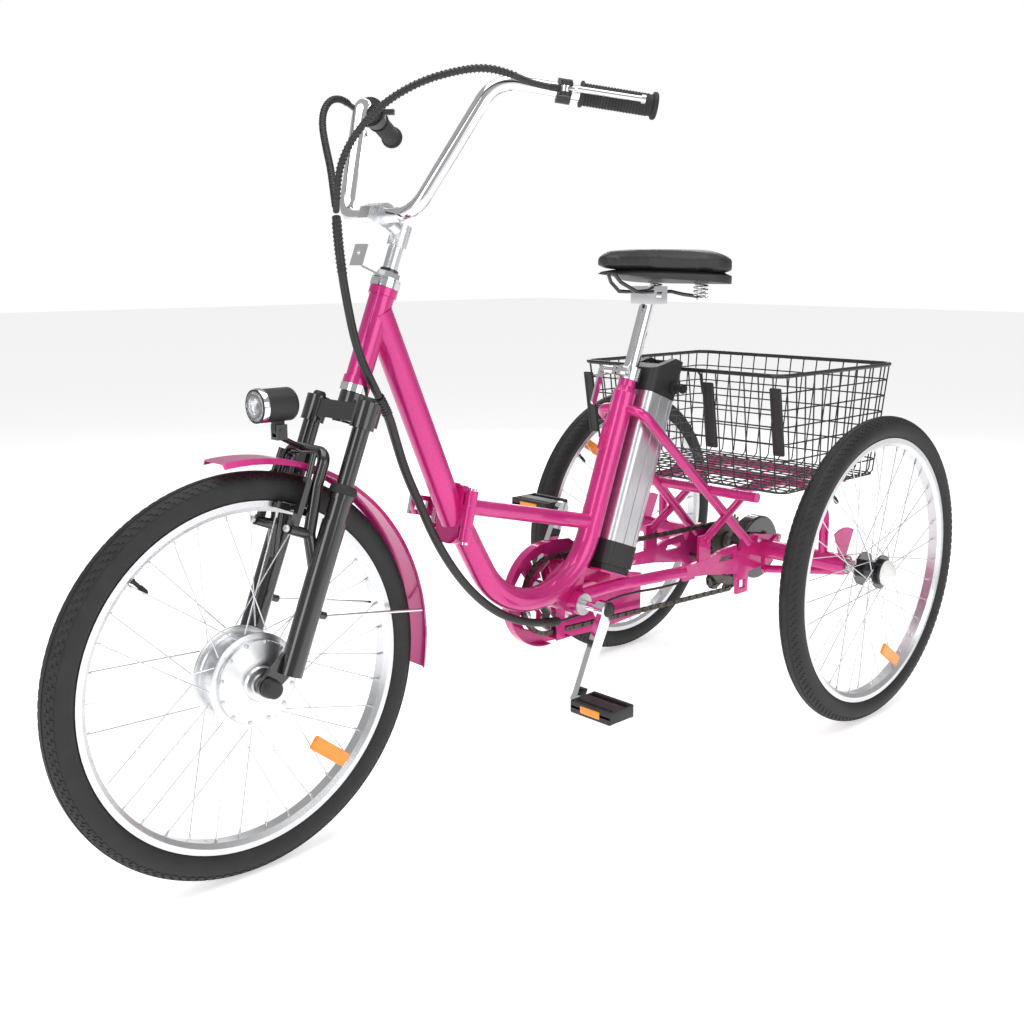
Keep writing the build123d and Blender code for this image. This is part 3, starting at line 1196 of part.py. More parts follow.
def brake_lever(side):
    """Two-finger blade pivoted in its perch."""
    blade = rod((LEVER_OUT, -4.0, 0), (LEVER_OUT, 4.0, 0), 8.0)
    blade += bent([(LEVER_OUT, 0, 0), (LEVER_OUT + 16, 0, 14), (LEVER_OUT + 20, 0, 104)], 4.0, 14.0)
    blade += rod((LEVER_OUT + 20, 0, 104), (LEVER_OUT + 20.3, 0, 110), 6.0)
    blade -= rod((LEVER_OUT, -9, 0), (LEVER_OUT, 9, 0), 3.0 + RUN_GAP)
    return lever_plane(side) * blade


def shift_lever():
    """Collar on the pod with a thumb tab."""
    body = Pos(0, 0, POD_AT) * (Cylinder(POD_R + 4.0, 8.0) - Cylinder(POD_R + RUN_GAP, 10.0))
    body += block(-POD_R - 20, -POD_R - 1, -4, 4, POD_AT - 4, POD_AT + 4)
    return lever_plane(-1) * body


# ------------------------------------------------------------------ headset nut and cables
def headset_nut():
    """Locknut on the steerer, and the bracket that it clamps in front of the head tube."""
    base = (Align.CENTER, Align.CENTER, Align.MIN)
    x, z = -FORK_OFFSET, FORK_LENGTH + HEAD_TUBE_LEN + HEADSET_H
    bracket = Pos(x, 0, z + 0.5) * Cylinder(22.0, 3.0, align=base)
    bracket += block(x, x + 62, -10, 10, z + 0.5, z + 3.5)
    bracket += block(x + 59, x + 62, -14, 14, z + 0.5, z + 34)
    bracket -= rod((x + 50, 0, z + 20), (x + 70, 0, z + 20), BRACKET_BORE)
    nut = Pos(x, 0, z + 3.7) * extrude(RegularPolygon(19.0, 6), 9.0)
    bore = Pos(x, 0, z - 20) * Cylinder(STEERER_R + RUN_GAP, 80.0, align=base)
    return [FORK * (bracket - bore), FORK * (nut - bore)]


BRACKET_BORE = 3.5
LEAD_R = 6.0
TRUNK_R = 8.0
SLEEVE_R = 8.0
BRAKE_CABLE_R = 2.5


def lead_exit(side):
    """The first two points of a lead, straight out of its lever perch or pod."""
    inner = -22.0 if side > 0 else POD_AT - 9.0
    return [lever_plane(side).from_local_coords(V(ENTRY_OUT, 0, inner - 2 * SEAT_GAP)),
            lever_plane(side).from_local_coords(V(ENTRY_OUT + 2, 0, inner - 24))]


LEFT_LEADS = [(248, 189, 1140), (284, 176, 1147), (320, 158, 1141), (361, 132, 1127), (393, 100, 1104),
              (415, 70, 1074), (426, 42, 1040), (428, 20, 1002), (422, 9, 958)]
RIGHT_LEADS = [(268, -182, 1140), (293, -176, 1137), (315, -166, 1120), (333, -147, 1093),
               (352, -112, 1058), (375, -68, 1021), (397, -32, 988), (409, -10, 957)]
HEAD_LEADS = [(417, 1, 949), (426, 17, 909), (421, 18, 862), (415, 20, 822), (410, 25, 782), (403, 33, 744),
              (389, 37, 714), (369, 27, 690)]
SLEEVE = [(367.5, 26.2, 688), (343, 16, 660), (320, 2, 620), (299, -2, 566), (270, 0, 505), (239, 2, 440),
          (198, 0, 382), (152, -2, 332), (101, 0, 291), (48, 2, 265), (-4, 1, 250), (-50, 0, 244)]
STAY_CABLE = [(-51, 2, 244), (-84, 16, 250), (-120, 26, 260), (-170, 28, 270), (-225, 39, 274),
              (-280, 50, 272), (-330, 53, 273)]


def bar_leads():
    """Wrapped leads from both lever perches to the tie in front of the stem."""
    return [cord(lead_exit(1) + LEFT_LEADS, LEAD_R), cord(lead_exit(-1) + RIGHT_LEADS, LEAD_R)]


def head_leads():
    """Bundle from the tie down past the head tube."""
    return cord(HEAD_LEADS, TRUNK_R)


def cable_sleeve():
    """Zipped sleeve under the down tube, and the thin cable on along the left stay."""
    return [cord(SLEEVE, SLEEVE_R), cord(STAY_CABLE, BRAKE_CABLE_R)]


# ------------------------------------------------------------------ write the parts
NODES = {
    "rear_frame": rear_frame,
    "bottom_bracket": cartridge,
    "seat_collar": seat_collar,
    "chain_guard": chain_guard,
    "basket": basket,
    "battery_dock": battery_dock,
    "drive_chain": drive_chain,
    "brake_cover": brake_cover,
    "axle_bearings": axle_bearings,
    "hinge_pin": hinge_pin,
    "front_frame": front_frame,
    "headset_cups": headset_cups,
    "headset_nut": headset_nut,
    "bar_leads": bar_leads,
    "head_leads": head_leads,
    "cable_sleeve": cable_sleeve,
    "fold_latch": fold_latch,
    "fork_crown": fork_crown,
    "fork_lowers": fork_lowers,
    "front_axle": front_axle,
    "hub_motor": hub_motor,
    "front_fender": front_fender,
    "fender_stays": fender_stays,
    "left_brake_arm": lambda: brake_arm(1),
    "right_brake_arm": lambda: brake_arm(-1),
    "headlight_body": headlight,
    "headlight_lens": headlight_lens,
    "stem": stem,
    "handlebar": handlebar,
    "left_grip": lambda: grip(1, GRIP_LEN),
    "throttle_grip": lambda: grip(-1, THROTTLE_LEN),
    "lever_mounts": lever_mounts,
    "left_brake_lever": lambda: brake_lever(1),
    "right_brake_lever": lambda: brake_lever(-1),
    "shift_lever": shift_lever,
    "crankset": crankset,
    "left_pedal": lambda: pedal(1),
    "right_pedal": lambda: pedal(-1),
    "freewheel": freewheel,
    "rear_axle": rear_axle,
    "derailleur": derailleur,
    "guide_pulley": lambda: pulley(GUIDE),
    "tension_pulley": lambda: pulley(TENSION),
    "seat_post": seat_post,
    "saddle": saddle,
    "seat_lever": seat_lever,
    "battery_case": battery_case,
    "battery_caps": battery_caps,
    "battery_key": battery_key,
    "front_tyre": lambda: tyre(FRONT_AXLE),
    "front_rim": lambda: rim(FRONT_AXLE),
    "front_spokes": lambda: spokes(FRONT_AXLE, MOTOR_FLANGE_R, MOTOR_FLANGE_Y, 24.0),
}

for side_name, side_sign in (("left", 1), ("right", -1)):
    centre = REAR_AXLE + V(0, side_sign * HALF_TRACK, 0)
    NODES[f"{side_name}_tyre"] = lambda c=centre: tyre(c)
    NODES[f"{side_name}_rim"] = lambda c=centre: rim(c)
    NODES[f"{side_name}_spokes"] = lambda c=centre: spokes(c, REAR_FLANGE_R, REAR_FLANGE_Y, 52.0)
    NODES[f"{side_name}_hub"] = lambda s=side_sign: rear_hub(s)

for node, maker in NODES.items():
    save(node, maker())
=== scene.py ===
# %% [markdown]
# # An adult folding tricycle, finished in Blender
# The tricycle's frame, wheels and joints come ready from CAD. This lesson gives every surface its
# finish and adds what CAD leaves plain: tread, the wire basket, the roller chain, the wrapped
# leads, the padded saddle, bolts and reflectors. Everything is in metres, +X forward, +Z up.

# %% Load the frame
from math import atan2, cos, pi, radians, sin, sqrt

import bpy
import numpy as np
from mathutils import Matrix, Vector


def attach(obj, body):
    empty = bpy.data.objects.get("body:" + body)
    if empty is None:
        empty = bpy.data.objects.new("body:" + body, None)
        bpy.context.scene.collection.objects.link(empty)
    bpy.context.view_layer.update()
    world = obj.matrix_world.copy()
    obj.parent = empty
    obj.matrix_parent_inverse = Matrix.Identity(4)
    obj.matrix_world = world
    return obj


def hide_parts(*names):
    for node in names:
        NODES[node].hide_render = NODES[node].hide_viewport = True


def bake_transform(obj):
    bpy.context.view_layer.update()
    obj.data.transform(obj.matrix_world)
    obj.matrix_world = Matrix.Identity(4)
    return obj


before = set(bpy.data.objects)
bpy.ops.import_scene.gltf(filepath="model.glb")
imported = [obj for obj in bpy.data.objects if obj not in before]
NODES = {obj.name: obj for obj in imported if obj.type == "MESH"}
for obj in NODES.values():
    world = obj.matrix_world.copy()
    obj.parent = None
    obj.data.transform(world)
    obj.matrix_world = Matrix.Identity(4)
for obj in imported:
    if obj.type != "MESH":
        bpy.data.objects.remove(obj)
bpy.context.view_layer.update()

bpy.ops.object.select_all(action="DESELECT")

# %% [markdown]
# Most places are easiest to write in millimetres along the tricycle's own axes, so three small
# helpers turn them into metres: one for a point, one for a matrix that stands a piece's own Z
# along a direction, and one for the slanted plane of the fork.

# %% Places and planes
MM = 0.001


def at(x, y, z):
    return Vector((x, y, z)) * MM


def stand(point, way):
    """Matrix that carries a piece's origin to point and its Z axis along way."""
    return Matrix.Translation(point) @ Vector(way).to_track_quat("Z", "Y").to_matrix().to_4x4()


def slanted(origin, x, z):
    x, z = Vector(x).normalized(), Vector(z).normalized()
    turn = Matrix((x, z.cross(x), z)).transposed()
    return Matrix.Translation(origin) @ turn.to_4x4()


FRONT_AXLE, REAR_AXLE, CRANK_AXLE = at(600, 0, 300), at(-600, 0, 300), at(-78, 0, 278)
FORK = slanted(FRONT_AXLE, (0.9278, 0, 0.3730), (-0.3730, 0, 0.9278))
BAR_CENTRE = FORK @ at(3, 0, 702)
BAR_TOP, BAR_END = BAR_CENTRE + at(-91, 156, 183), BAR_CENTRE + at(-268, 303, 150)
print("bar centre at", [round(c, 3) for c in BAR_CENTRE])


def mirrored(point):
    return Vector((point.x, -point.y, point.z))


def lever_plane(side):
    """Plane at a brake lever's clamp: x forward of the bar, z along it to its tip."""
    end, bend = (BAR_END, BAR_TOP) if side > 0 else (mirrored(BAR_END), mirrored(BAR_TOP))
    way = (end - bend).normalized()
    forward = Vector((0, 0, 1)).cross(way).normalized()
    if forward.y * side < 0:
        forward = -forward
    return slanted(end - way * 134 * MM, forward, way)


# %% [markdown]
# ## The camera and the light
# A packshot of a vehicle is taken from low in front of one corner with a normal lens. The camera
# is placed at a point and turned to look at a target.
# The light is that of a white studio: a bright dome, a big soft box overhead, and weaker boxes at
# the sides whose long edges draw the highlights along chrome and paint.

# %% Camera
TARGET = at(-347.414, -432.122, 338.046)
camera_data = bpy.data.cameras.new("camera")
camera_data.lens, camera_data.sensor_width = 41.55, 36
camera = bpy.data.objects.new("camera", camera_data)
bpy.context.scene.collection.objects.link(camera)
camera_at = at(1443.54, 1435.33, 886.11)
camera.location = camera_at
camera.rotation_euler = (TARGET - camera_at).to_track_quat("-Z", "Y").to_euler()
bpy.context.scene.camera = camera
print("camera", round((TARGET - camera_at).length, 3), "m from its target")

# %% Lights and floor
def soft_box(name, place, aim, size, power):
    data = bpy.data.lights.new(name, "AREA")
    data.shape, data.size, data.size_y, data.energy = "RECTANGLE", size[0], size[1], power
    lamp = bpy.data.objects.new(name, data)
    lamp.location = place
    lamp.rotation_euler = (Vector(aim) - Vector(place)).to_track_quat("-Z", "Y").to_euler()
    bpy.context.scene.collection.objects.link(lamp)
    return lamp


soft_box("overhead", (0.3, 0.3, 3.2), (0, 0, 0.3), (3.0, 2.4), 52)
soft_box("left_box", (0.2, 3.4, 1.5), (0, 0, 0.4), (2.6, 1.6), 26)
soft_box("front_box", (3.4, 0.6, 1.6), (0, 0, 0.4), (1.2, 2.2), 26)
soft_box("back_box", (-2.6, -2.4, 1.9), (-0.2, 0, 0.4), (1.8, 1.4), 30)

world = bpy.data.worlds.new("studio")
world.use_nodes = True
dome = world.node_tree.nodes["Background"]
dome.inputs["Color"].default_value = (1, 1, 1, 1)
seen = world.node_tree.nodes.new("ShaderNodeLightPath")
strength = world.node_tree.nodes.new("ShaderNodeMix")
strength.inputs["A"].default_value, strength.inputs["B"].default_value = 0.42, 1.0
world.node_tree.links.new(seen.outputs["Is Camera Ray"], strength.inputs["Factor"])
world.node_tree.links.new(strength.outputs["Result"], dome.inputs["Strength"])
bpy.context.scene.world = world
bpy.context.scene.view_settings.view_transform = "Standard"

bpy.ops.mesh.primitive_plane_add(size=40, location=(0, 0, -0.0005))
floor = bpy.context.object
floor.name = "floor"
paper = bpy.data.materials.new("paper")
paper.use_nodes = True
paper_shader = paper.node_tree.nodes["Principled BSDF"]
paper_shader.inputs["Base Color"].default_value = (0.93, 0.93, 0.93, 1)
paper_shader.inputs["Roughness"].default_value = 0.9
paper_shader.inputs["Specular IOR Level"].default_value = 0.1
paper_shader.inputs["Emission Color"].default_value = (1, 1, 1, 1)
paper_shader.inputs["Emission Strength"].default_value = 0.50
floor.data.materials.append(paper)
print("studio ready")

# %% [markdown]
# ## Finishes
# A finish is a small graph of nodes. Written by hand that is long, so one class wraps a socket and
# lets Python's + - * / add the Math nodes. Everything else comes from one method, node, that takes
# a node's type, its settings and what goes into its sockets. What stays the same over a surface
# is set on the shader itself, and only what varies is wired.

# %% A socket with arithmetic
class Signal:
    tree = None

    def __init__(self, socket):
        self.socket = socket

    @classmethod
    def node(cls, kind, settings=(), values=(), out=0):
        node = cls.tree.nodes.new("ShaderNode" + kind)
        for key, value in dict(settings).items():
            if key == "stops":
                ramp = node.color_ramp.elements
                while len(ramp) < len(value):
                    ramp.new(0.5)
                for element, (place, shade) in zip(ramp, value):
                    element.position, element.color = place, (shade, shade, shade, 1)
            else:
                setattr(node, key, value)
        for key, value in dict(values).items():
            if isinstance(value, Signal):
                cls.tree.links.new(value.socket, node.inputs[key])
            else:
                node.inputs[key].default_value = value
        return cls(node.outputs[out])

    def maths(self, operation, a, b=0.0):
        return self.node("Math", {"operation": operation}, {0: a, 1: b})

    def __add__(self, other):
        return self.maths("ADD", self, other)

    def __sub__(self, other):
        return self.maths("SUBTRACT", self, other)

    def __rsub__(self, other):
        return self.maths("SUBTRACT", other, self)

    def __mul__(self, other):
        return self.maths("MULTIPLY", self, other)

    def __truediv__(self, other):
        return self.maths("DIVIDE", self, other)

    def __pow__(self, other):
        return self.maths("POWER", self, other)

    __radd__ = __add__
    __rmul__ = __mul__

    def above(self, level):
        return self.maths("GREATER_THAN", self, level)

    def wave(self):
        return self.maths("SINE", self)


def rgb(*colour):
    return (*colour, 1.0)


def blended(mask, first, second):
    """first where mask is 0 and second where it is 1; both are colours."""
    return Signal.node("Mix", {"data_type": "RGBA"}, {0: mask, 6: first, 7: second}, out=2)


def place_of(scale=(1, 1, 1), turn=(0, 0, 0), shift=(0, 0, 0)):
    here = Signal.node("TexCoord", out=3)
    values = {"Vector": here, "Scale": scale, "Rotation": turn, "Location": shift}
    return Signal.node("Mapping", values=values)


def noise(scale, detail=2.0, where=None, rough=0.5):
    values = {"Scale": scale, "Detail": detail, "Roughness": rough}
    return Signal.node("TexNoise", values={**values, "Vector": where or place_of()})


def bumped(height, strength, distance=0.001):
    return Signal.node("Bump", values={"Height": height, "Strength": strength, "Distance": distance})


FINISHES = {}


def finish(name, build, **constants):
    """A material whose shader takes the constants, and whose build() says what varies."""
    material = bpy.data.materials.new(name)
    material.use_nodes = True
    Signal.tree = material.node_tree
    shader = material.node_tree.nodes["Principled BSDF"]
    for key, value in constants.items():
        shader.inputs[key.replace("_", " ")].default_value = value
    for key, value in build().items():
        material.node_tree.links.new(value.socket, shader.inputs[key])
    FINISHES[name] = material
    return material


# %% [markdown]
# **Paint.** The frame is painted a bright magenta with fine metal flakes under a clear lacquer.
# Flakes are a very small cell pattern that moves the colour a little. The lacquer is the shader's
# coat, and a broad, faint waviness in the bump gives it the orange peel of real powder paint.

# %% Frame paint
def paint():
    flakes = Signal.node("TexVoronoi", {"feature": "F1"}, {"Scale": 1400.0, "Vector": place_of()}, out=1)
    sparkle = Signal.node("SeparateColor", values={0: flakes})
    drift = noise(5.0, 3.0)
    deep, bright = rgb(0.44, 0.005, 0.150), rgb(0.82, 0.028, 0.300)
    colour = blended(sparkle * 0.45 + drift * 0.62, deep, bright)
    return {"Base Color": colour, "Roughness": 0.26 + 0.14 * sparkle + 0.05 * drift,
            "Normal": bumped(noise(260.0, 1.0), 0.035)}


finish("frame_paint", paint, Metallic=0.42, Coat_Weight=0.85, Coat_Roughness=0.045)

# %% [markdown]
# **Bright metals.** Chrome is a mirror with a few soft smudges. Polished alloy is duller and its
# machining lines run round the axle, so the pattern is made from the distance to that axle.
# Zinc-plated bolts are greyer, with a mottled roughness.

# %% Chrome, alloy and zinc
def chrome():
    smudge = noise(22.0, 4.0)
    return {"Base Color": blended(smudge, rgb(0.78, 0.79, 0.81), rgb(0.93, 0.93, 0.95)),
            "Roughness": 0.035 + 0.11 * smudge ** 2.2}


def machined(centre, pitch=0.0009, depth=0.10):
    """Alloy turned on a lathe whose axis is parallel to Y through centre."""
    def build():
        here = Signal.node("SeparateXYZ", values={0: place_of()})
        x, y, z = (Signal(here.socket.node.outputs[i]) for i in range(3))
        dx, dz = x - centre.x, z - centre.z
        radius = (dx * dx + dz * dz) ** 0.5
        lines = (radius * (2 * pi / pitch) + noise(60.0, 2.0) * 2.0).wave()
        cloud = noise(14.0, 3.0)
        return {"Base Color": blended(cloud, rgb(0.66, 0.67, 0.69), rgb(0.83, 0.84, 0.86)),
                "Roughness": 0.22 + 0.10 * lines + 0.12 * cloud,
                "Normal": bumped(lines, depth, 0.0003)}
    return build


def zinc():
    blotch = noise(120.0, 4.0)
    return {"Base Color": blended(blotch, rgb(0.50, 0.51, 0.52), rgb(0.76, 0.76, 0.74)),
            "Roughness": 0.24 + 0.25 * blotch, "Normal": bumped(noise(700.0), 0.05)}


def steel_wire():
    streak = noise(90.0, 3.0, place_of(scale=(1, 1, 0.2)))
    return {"Base Color": blended(streak, rgb(0.60, 0.61, 0.63), rgb(0.82, 0.83, 0.85)),
            "Roughness": 0.16 + 0.18 * streak}


finish("chrome", chrome, Metallic=1.0)
finish("silver_alloy", machined(FRONT_AXLE), Metallic=1.0)
finish("rear_alloy", machined(REAR_AXLE), Metallic=1.0)
finish("cast_alloy", machined(BAR_CENTRE, 0.002, 0.03), Metallic=1.0)
finish("zinc_steel", zinc, Metallic=1.0)
finish("spoke_steel", steel_wire, Metallic=1.0)


# %% [markdown]
# **The battery case** is extruded aluminium: the brushing runs along the seat tube, so the noise is
# turned into the tube's slant and stretched along it.

# %% Brushed extrusion and chain steel
def brushed():
    lean = atan2(0.3453, 0.9385)
    streak = noise(260.0, 3.0, place_of(scale=(1, 1, 0.012), turn=(0, lean, 0)))
    cloud = noise(9.0, 2.0)
    return {"Base Color": blended(streak, rgb(0.58, 0.59, 0.61), rgb(0.84, 0.85, 0.87)),
            "Roughness": 0.24 + 0.16 * streak + 0.08 * cloud, "Normal": bumped(streak, 0.10, 0.0002)}


def oiled_steel():
    grime = noise(70.0, 4.0)
    return {"Base Color": blended(grime, rgb(0.020, 0.017, 0.014), rgb(0.24, 0.22, 0.19)),
            "Roughness": 0.28 + 0.30 * grime, "Normal": bumped(grime, 0.08)}


finish("brushed_case", brushed, Metallic=1.0)
finish("chain_steel", oiled_steel, Metallic=0.9)


# %% [markdown]
# **Blacks.** The fork is gloss black lacquer, the fittings are moulded plastic with a fine grain, and
# the basket wire is dipped in soft plastic. They differ in roughness far more than in colour.

# %% Blacks
def gloss_black():
    haze = noise(18.0, 3.0)
    return {"Base Color": blended(haze, rgb(0.006, 0.006, 0.007), rgb(0.016, 0.016, 0.018)),
            "Roughness": 0.16 + 0.10 * haze, "Normal": bumped(noise(240.0, 1.0), 0.03)}


def moulded_black():
    grain = Signal.node("TexVoronoi", {"feature": "SMOOTH_F1"}, {"Scale": 1500.0, "Vector": place_of()})
    haze = noise(30.0, 3.0)
    return {"Base Color": blended(haze, rgb(0.010, 0.010, 0.011), rgb(0.028, 0.028, 0.030)),
            "Roughness": 0.40 + 0.16 * haze, "Normal": bumped(grain, 0.14, 0.0004)}


def dipped_wire():
    dip = noise(55.0, 3.0)
    return {"Base Color": blended(dip, rgb(0.008, 0.008, 0.009), rgb(0.030, 0.030, 0.032)),
            "Roughness": 0.22 + 0.22 * dip, "Normal": bumped(noise(420.0, 2.0), 0.10, 0.0005)}


def soft_rubber():
    dust = noise(45.0, 4.0)
    return {"Base Color": blended(dust ** 2.0, rgb(0.009, 0.009, 0.009), rgb(0.045, 0.044, 0.043)),
            "Roughness": 0.56 + 0.20 * dust, "Normal": bumped(noise(900.0, 2.0), 0.14, 0.0004)}


def jacket():
    haze = noise(60.0, 3.0)
    return {"Base Color": blended(haze, rgb(0.008, 0.008, 0.009), rgb(0.030, 0.030, 0.031)),
            "Roughness": 0.30 + 0.18 * haze, "Normal": bumped(noise(520.0, 2.0), 0.07, 0.0004)}


finish("black_metal", gloss_black, Coat_Weight=0.9, Coat_Roughness=0.04)
finish("black_plastic", moulded_black)
finish("black_coated_wire", dipped_wire)
finish("rubber", soft_rubber)
finish("cable_jacket", jacket)


# %% [markdown]
# ** Tyres** are matt rubber with a little grey dust. Their side walls carry fine rings round the
# axle, which come from the distance to the wheel's axle.

# %% Tyre rubber
def tyre_rubber(centre):
    def build():
        here = Signal.node("SeparateXYZ", values={0: place_of()})
        x, y, z = (Signal(here.socket.node.outputs[i]) for i in range(3))
        dx, dz = x - centre.x, z - centre.z
        radius = (dx * dx + dz * dz) ** 0.5
        rings = (radius * (2 * pi / 0.0021)).wave()
        wall = 1.0 - (radius - 0.284).above(0.0)
        dust = noise(38.0, 5.0)
        return {"Base Color": blended(dust ** 2.2, rgb(0.008, 0.008, 0.009), rgb(0.040, 0.039, 0.038)),
                "Roughness": 0.50 + 0.26 * dust,
                "Normal": bumped(rings * wall * 0.5 + noise(800.0, 2.0) * 0.6, 0.22, 0.0004)}
    return build


finish("tyre", tyre_rubber(FRONT_AXLE))
finish("rear_tyre", tyre_rubber(REAR_AXLE))


# %% [markdown]
# ** Vinyl, lens and reflectors.** The saddle cover is vinyl with the pebble grain of leather. The
# lens is clear moulded plastic. A reflector is amber plastic whose back is a field of tiny prisms,
# so a fine cell pattern in the bump breaks up the light. Its finish also gives off a faint orange
# glow, which is painted light, since a reflector is no lamp.

# %% Vinyl, lens, amber and the small parts
def vinyl():
    pebble = Signal.node("TexVoronoi", {"feature": "F1"}, {"Scale": 620.0, "Vector": place_of()})
    crease = noise(130.0, 4.0)
    wear = noise(9.0, 2.0)
    return {"Base Color": blended(wear, rgb(0.010, 0.010, 0.011), rgb(0.028, 0.028, 0.029)),
            "Roughness": 0.36 + 0.22 * wear, "Normal": bumped(pebble * 0.7 + crease, 0.30, 0.0006)}


def prisms():
    cells = Signal.node("TexVoronoi", {"feature": "F1"}, {"Scale": 420.0, "Vector": place_of()})
    shade = noise(30.0, 2.0)
    return {"Base Color": blended(shade, rgb(0.95, 0.22, 0.004), rgb(1.0, 0.36, 0.012)),
            "Roughness": 0.14 + 0.12 * shade, "Normal": bumped(cells, 0.55, 0.0010)}


def clear():
    haze = noise(20.0, 2.0)
    return {"Roughness": 0.02 + 0.05 * haze, "Normal": bumped(noise(150.0, 0.0), 0.10, 0.0010)}


def plain(low, high, rough):
    def build():
        cloud = noise(40.0, 3.0)
        return {"Base Color": blended(cloud, rgb(*low), rgb(*high)), "Roughness": rough + 0.12 * cloud,
                "Normal": bumped(noise(600.0, 2.0), 0.05)}
    return build


finish("saddle_cover", vinyl)
# The amber finish's faint orange emission is a painted glow: the reflectors are no lamps.
finish("amber_painted_glow", prisms, Coat_Weight=0.6, Emission_Strength=0.12, Emission_Color=rgb(1.0, 0.25, 0.01))
finish("lens_clear", clear, Transmission_Weight=0.9, IOR=1.49, Base_Color=rgb(0.96, 0.98, 1.0))
finish("white_plastic", plain((0.74, 0.74, 0.72), (0.86, 0.86, 0.84), 0.28))
finish("silver_film", plain((0.72, 0.73, 0.75), (0.88, 0.89, 0.90), 0.12), Metallic=1.0)
print("finishes:", ", ".join(FINISHES))

# %% [markdown]
# ## Dressing the CAD parts
# Each CAD part that stays keeps its mesh and gets a finish in its slots. The table says which.

# %% Finishes for the CAD parts
DRESS = {
    "frame_paint": "rear_frame front_frame chain_guard front_fender",
    "chrome": "seat_collar seat_lever hinge_pin handlebar seat_post fold_latch crankset fender_stays "
              "headset_cups headset_nut left_brake_lever right_brake_lever",
    "silver_alloy": "front_rim hub_motor",
    "rear_alloy": "left_rim right_rim",
    "cast_alloy": "stem",
    "zinc_steel": "bottom_bracket axle_bearings rear_axle front_axle",
    "spoke_steel": "front_spokes left_spokes right_spokes",
    "chain_steel": "freewheel derailleur drive_chain",
    "black_metal": "fork_crown fork_lowers brake_cover left_brake_arm right_brake_arm left_hub right_hub",
    "black_plastic": "battery_dock battery_caps battery_key headlight_body lever_mounts shift_lever "
                     "guide_pulley tension_pulley left_pedal right_pedal",
    "brushed_case": "battery_case",
    "black_coated_wire": "basket",
    "rubber": "left_grip throttle_grip",
    "tyre": "front_tyre",
    "rear_tyre": "left_tyre right_tyre",
    "cable_jacket": "bar_leads head_leads cable_sleeve",
    "saddle_cover": "saddle",
    "lens_clear": "headlight_lens",
}
for finish_name, names in DRESS.items():
    for name in names.split():
        for each in NODES[name].material_slots:
            each.material = FINISHES[finish_name]
missing = set(NODES) - set(" ".join(DRESS.values()).split())
print("CAD nodes with no finish:", sorted(missing))

# %% [markdown]
# ## Tools for making pieces
# Every new piece is made as by hand: a primitive or a drawn profile is added, shaped in edit mode,
# and finished with modifiers. These helpers keep the steps short. A finished piece sits at the
# origin with its place in its mesh, as the CAD parts do.

# %% Selecting, settling and copying
def only(piece):
    bpy.ops.object.select_all(action="DESELECT")
    piece.select_set(True)
    bpy.context.view_layer.objects.active = piece
    return piece


def settle(piece, matrix=None):
    """Puts a piece's place into its mesh, after one more move if a matrix is given."""
    if matrix is not None:
        piece.matrix_world = matrix @ piece.matrix_world
    only(piece)
    bpy.ops.object.transform_apply(location=True, rotation=True, scale=True)
    return piece


def modified(piece, kind, **settings):
    only(piece)
    step = piece.modifiers.new(kind, kind)
    for key, value in settings.items():
        setattr(step, key, value)
    bpy.ops.object.modifier_apply(modifier=step.name)
    return piece


def smooth(piece, angle=35):
    only(piece)
    bpy.ops.object.shade_smooth_by_angle(angle=radians(angle))
    return piece


def pick(piece, test, kind="FACE"):
    """Enters edit mode with only the faces or corners that pass test(place, normal)."""
    only(piece)
    mesh = piece.data
    bpy.context.tool_settings.mesh_select_mode = (kind == "VERT", False, kind == "FACE")
    for items in (mesh.vertices, mesh.edges, mesh.polygons):
        items.foreach_set("select", np.zeros(len(items), bool))
    if kind == "FACE":
        chosen = [test(face.center, face.normal) for face in mesh.polygons]
        mesh.polygons.foreach_set("select", chosen)
    else:
        chosen = [test(corner.co, corner.normal) for corner in mesh.vertices]
        mesh.vertices.foreach_set("select", chosen)
    bpy.ops.object.mode_set(mode="EDIT")


def done():
    bpy.ops.object.mode_set(mode="OBJECT")


def copied(piece, name, matrix):
    twin = piece.copy()
    twin.data = piece.data.copy()
    twin.name = name
    bpy.context.scene.collection.objects.link(twin)
    twin.data.transform(matrix)
    return twin


def joined(name, pieces):
    only(pieces[0])
    for piece in pieces:
        piece.select_set(True)
    bpy.ops.object.join()
    pieces[0].name = name
    return pieces[0]


def worn(piece, finish_name, body=None):
    """Gives a piece its finish and the CAD body that it rides on."""
    piece.data.materials.clear()
    piece.data.materials.append(FINISHES[finish_name])
    if body:
        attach(piece, body)
    return piece


# %% Profiles, wires and blocks
def drawn(name, lines, closed=False, radius=0.0, sides=2):
    """Poly lines as one curve made a mesh; with a radius, they are round wires."""
    curve = bpy.data.curves.new(name, "CURVE")
    curve.dimensions = "3D"
    curve.bevel_depth, curve.bevel_resolution, curve.use_fill_caps = radius, sides, not closed
    for points in lines:
        line = curve.splines.new("POLY")
        line.points.add(len(points) - 1)
        line.use_cyclic_u = closed
        for knot, place in zip(line.points, points):
            knot.co = (*place, 1.0)
    piece = bpy.data.objects.new(name, curve)
    bpy.context.scene.collection.objects.link(piece)
    only(piece)
    bpy.ops.object.convert(target="MESH")
    return smooth(bpy.context.object, 60)


def spun(name, profile, steps=32, matrix=None):
    """A profile of (radius, height) points, in mm, spun once round the Z axis."""
    piece = drawn(name, [[at(r, 0, h) for r, h in profile]])
    pick(piece, lambda place, normal: True, "VERT")
    bpy.ops.mesh.spin(steps=steps, angle=2 * pi, center=(0, 0, 0), axis=(0, 0, 1))
    bpy.ops.mesh.select_all(action="SELECT")
    bpy.ops.mesh.remove_doubles(threshold=1e-6)
    bpy.ops.mesh.normals_make_consistent(inside=False)
    done()
    return smooth(settle(piece, matrix))


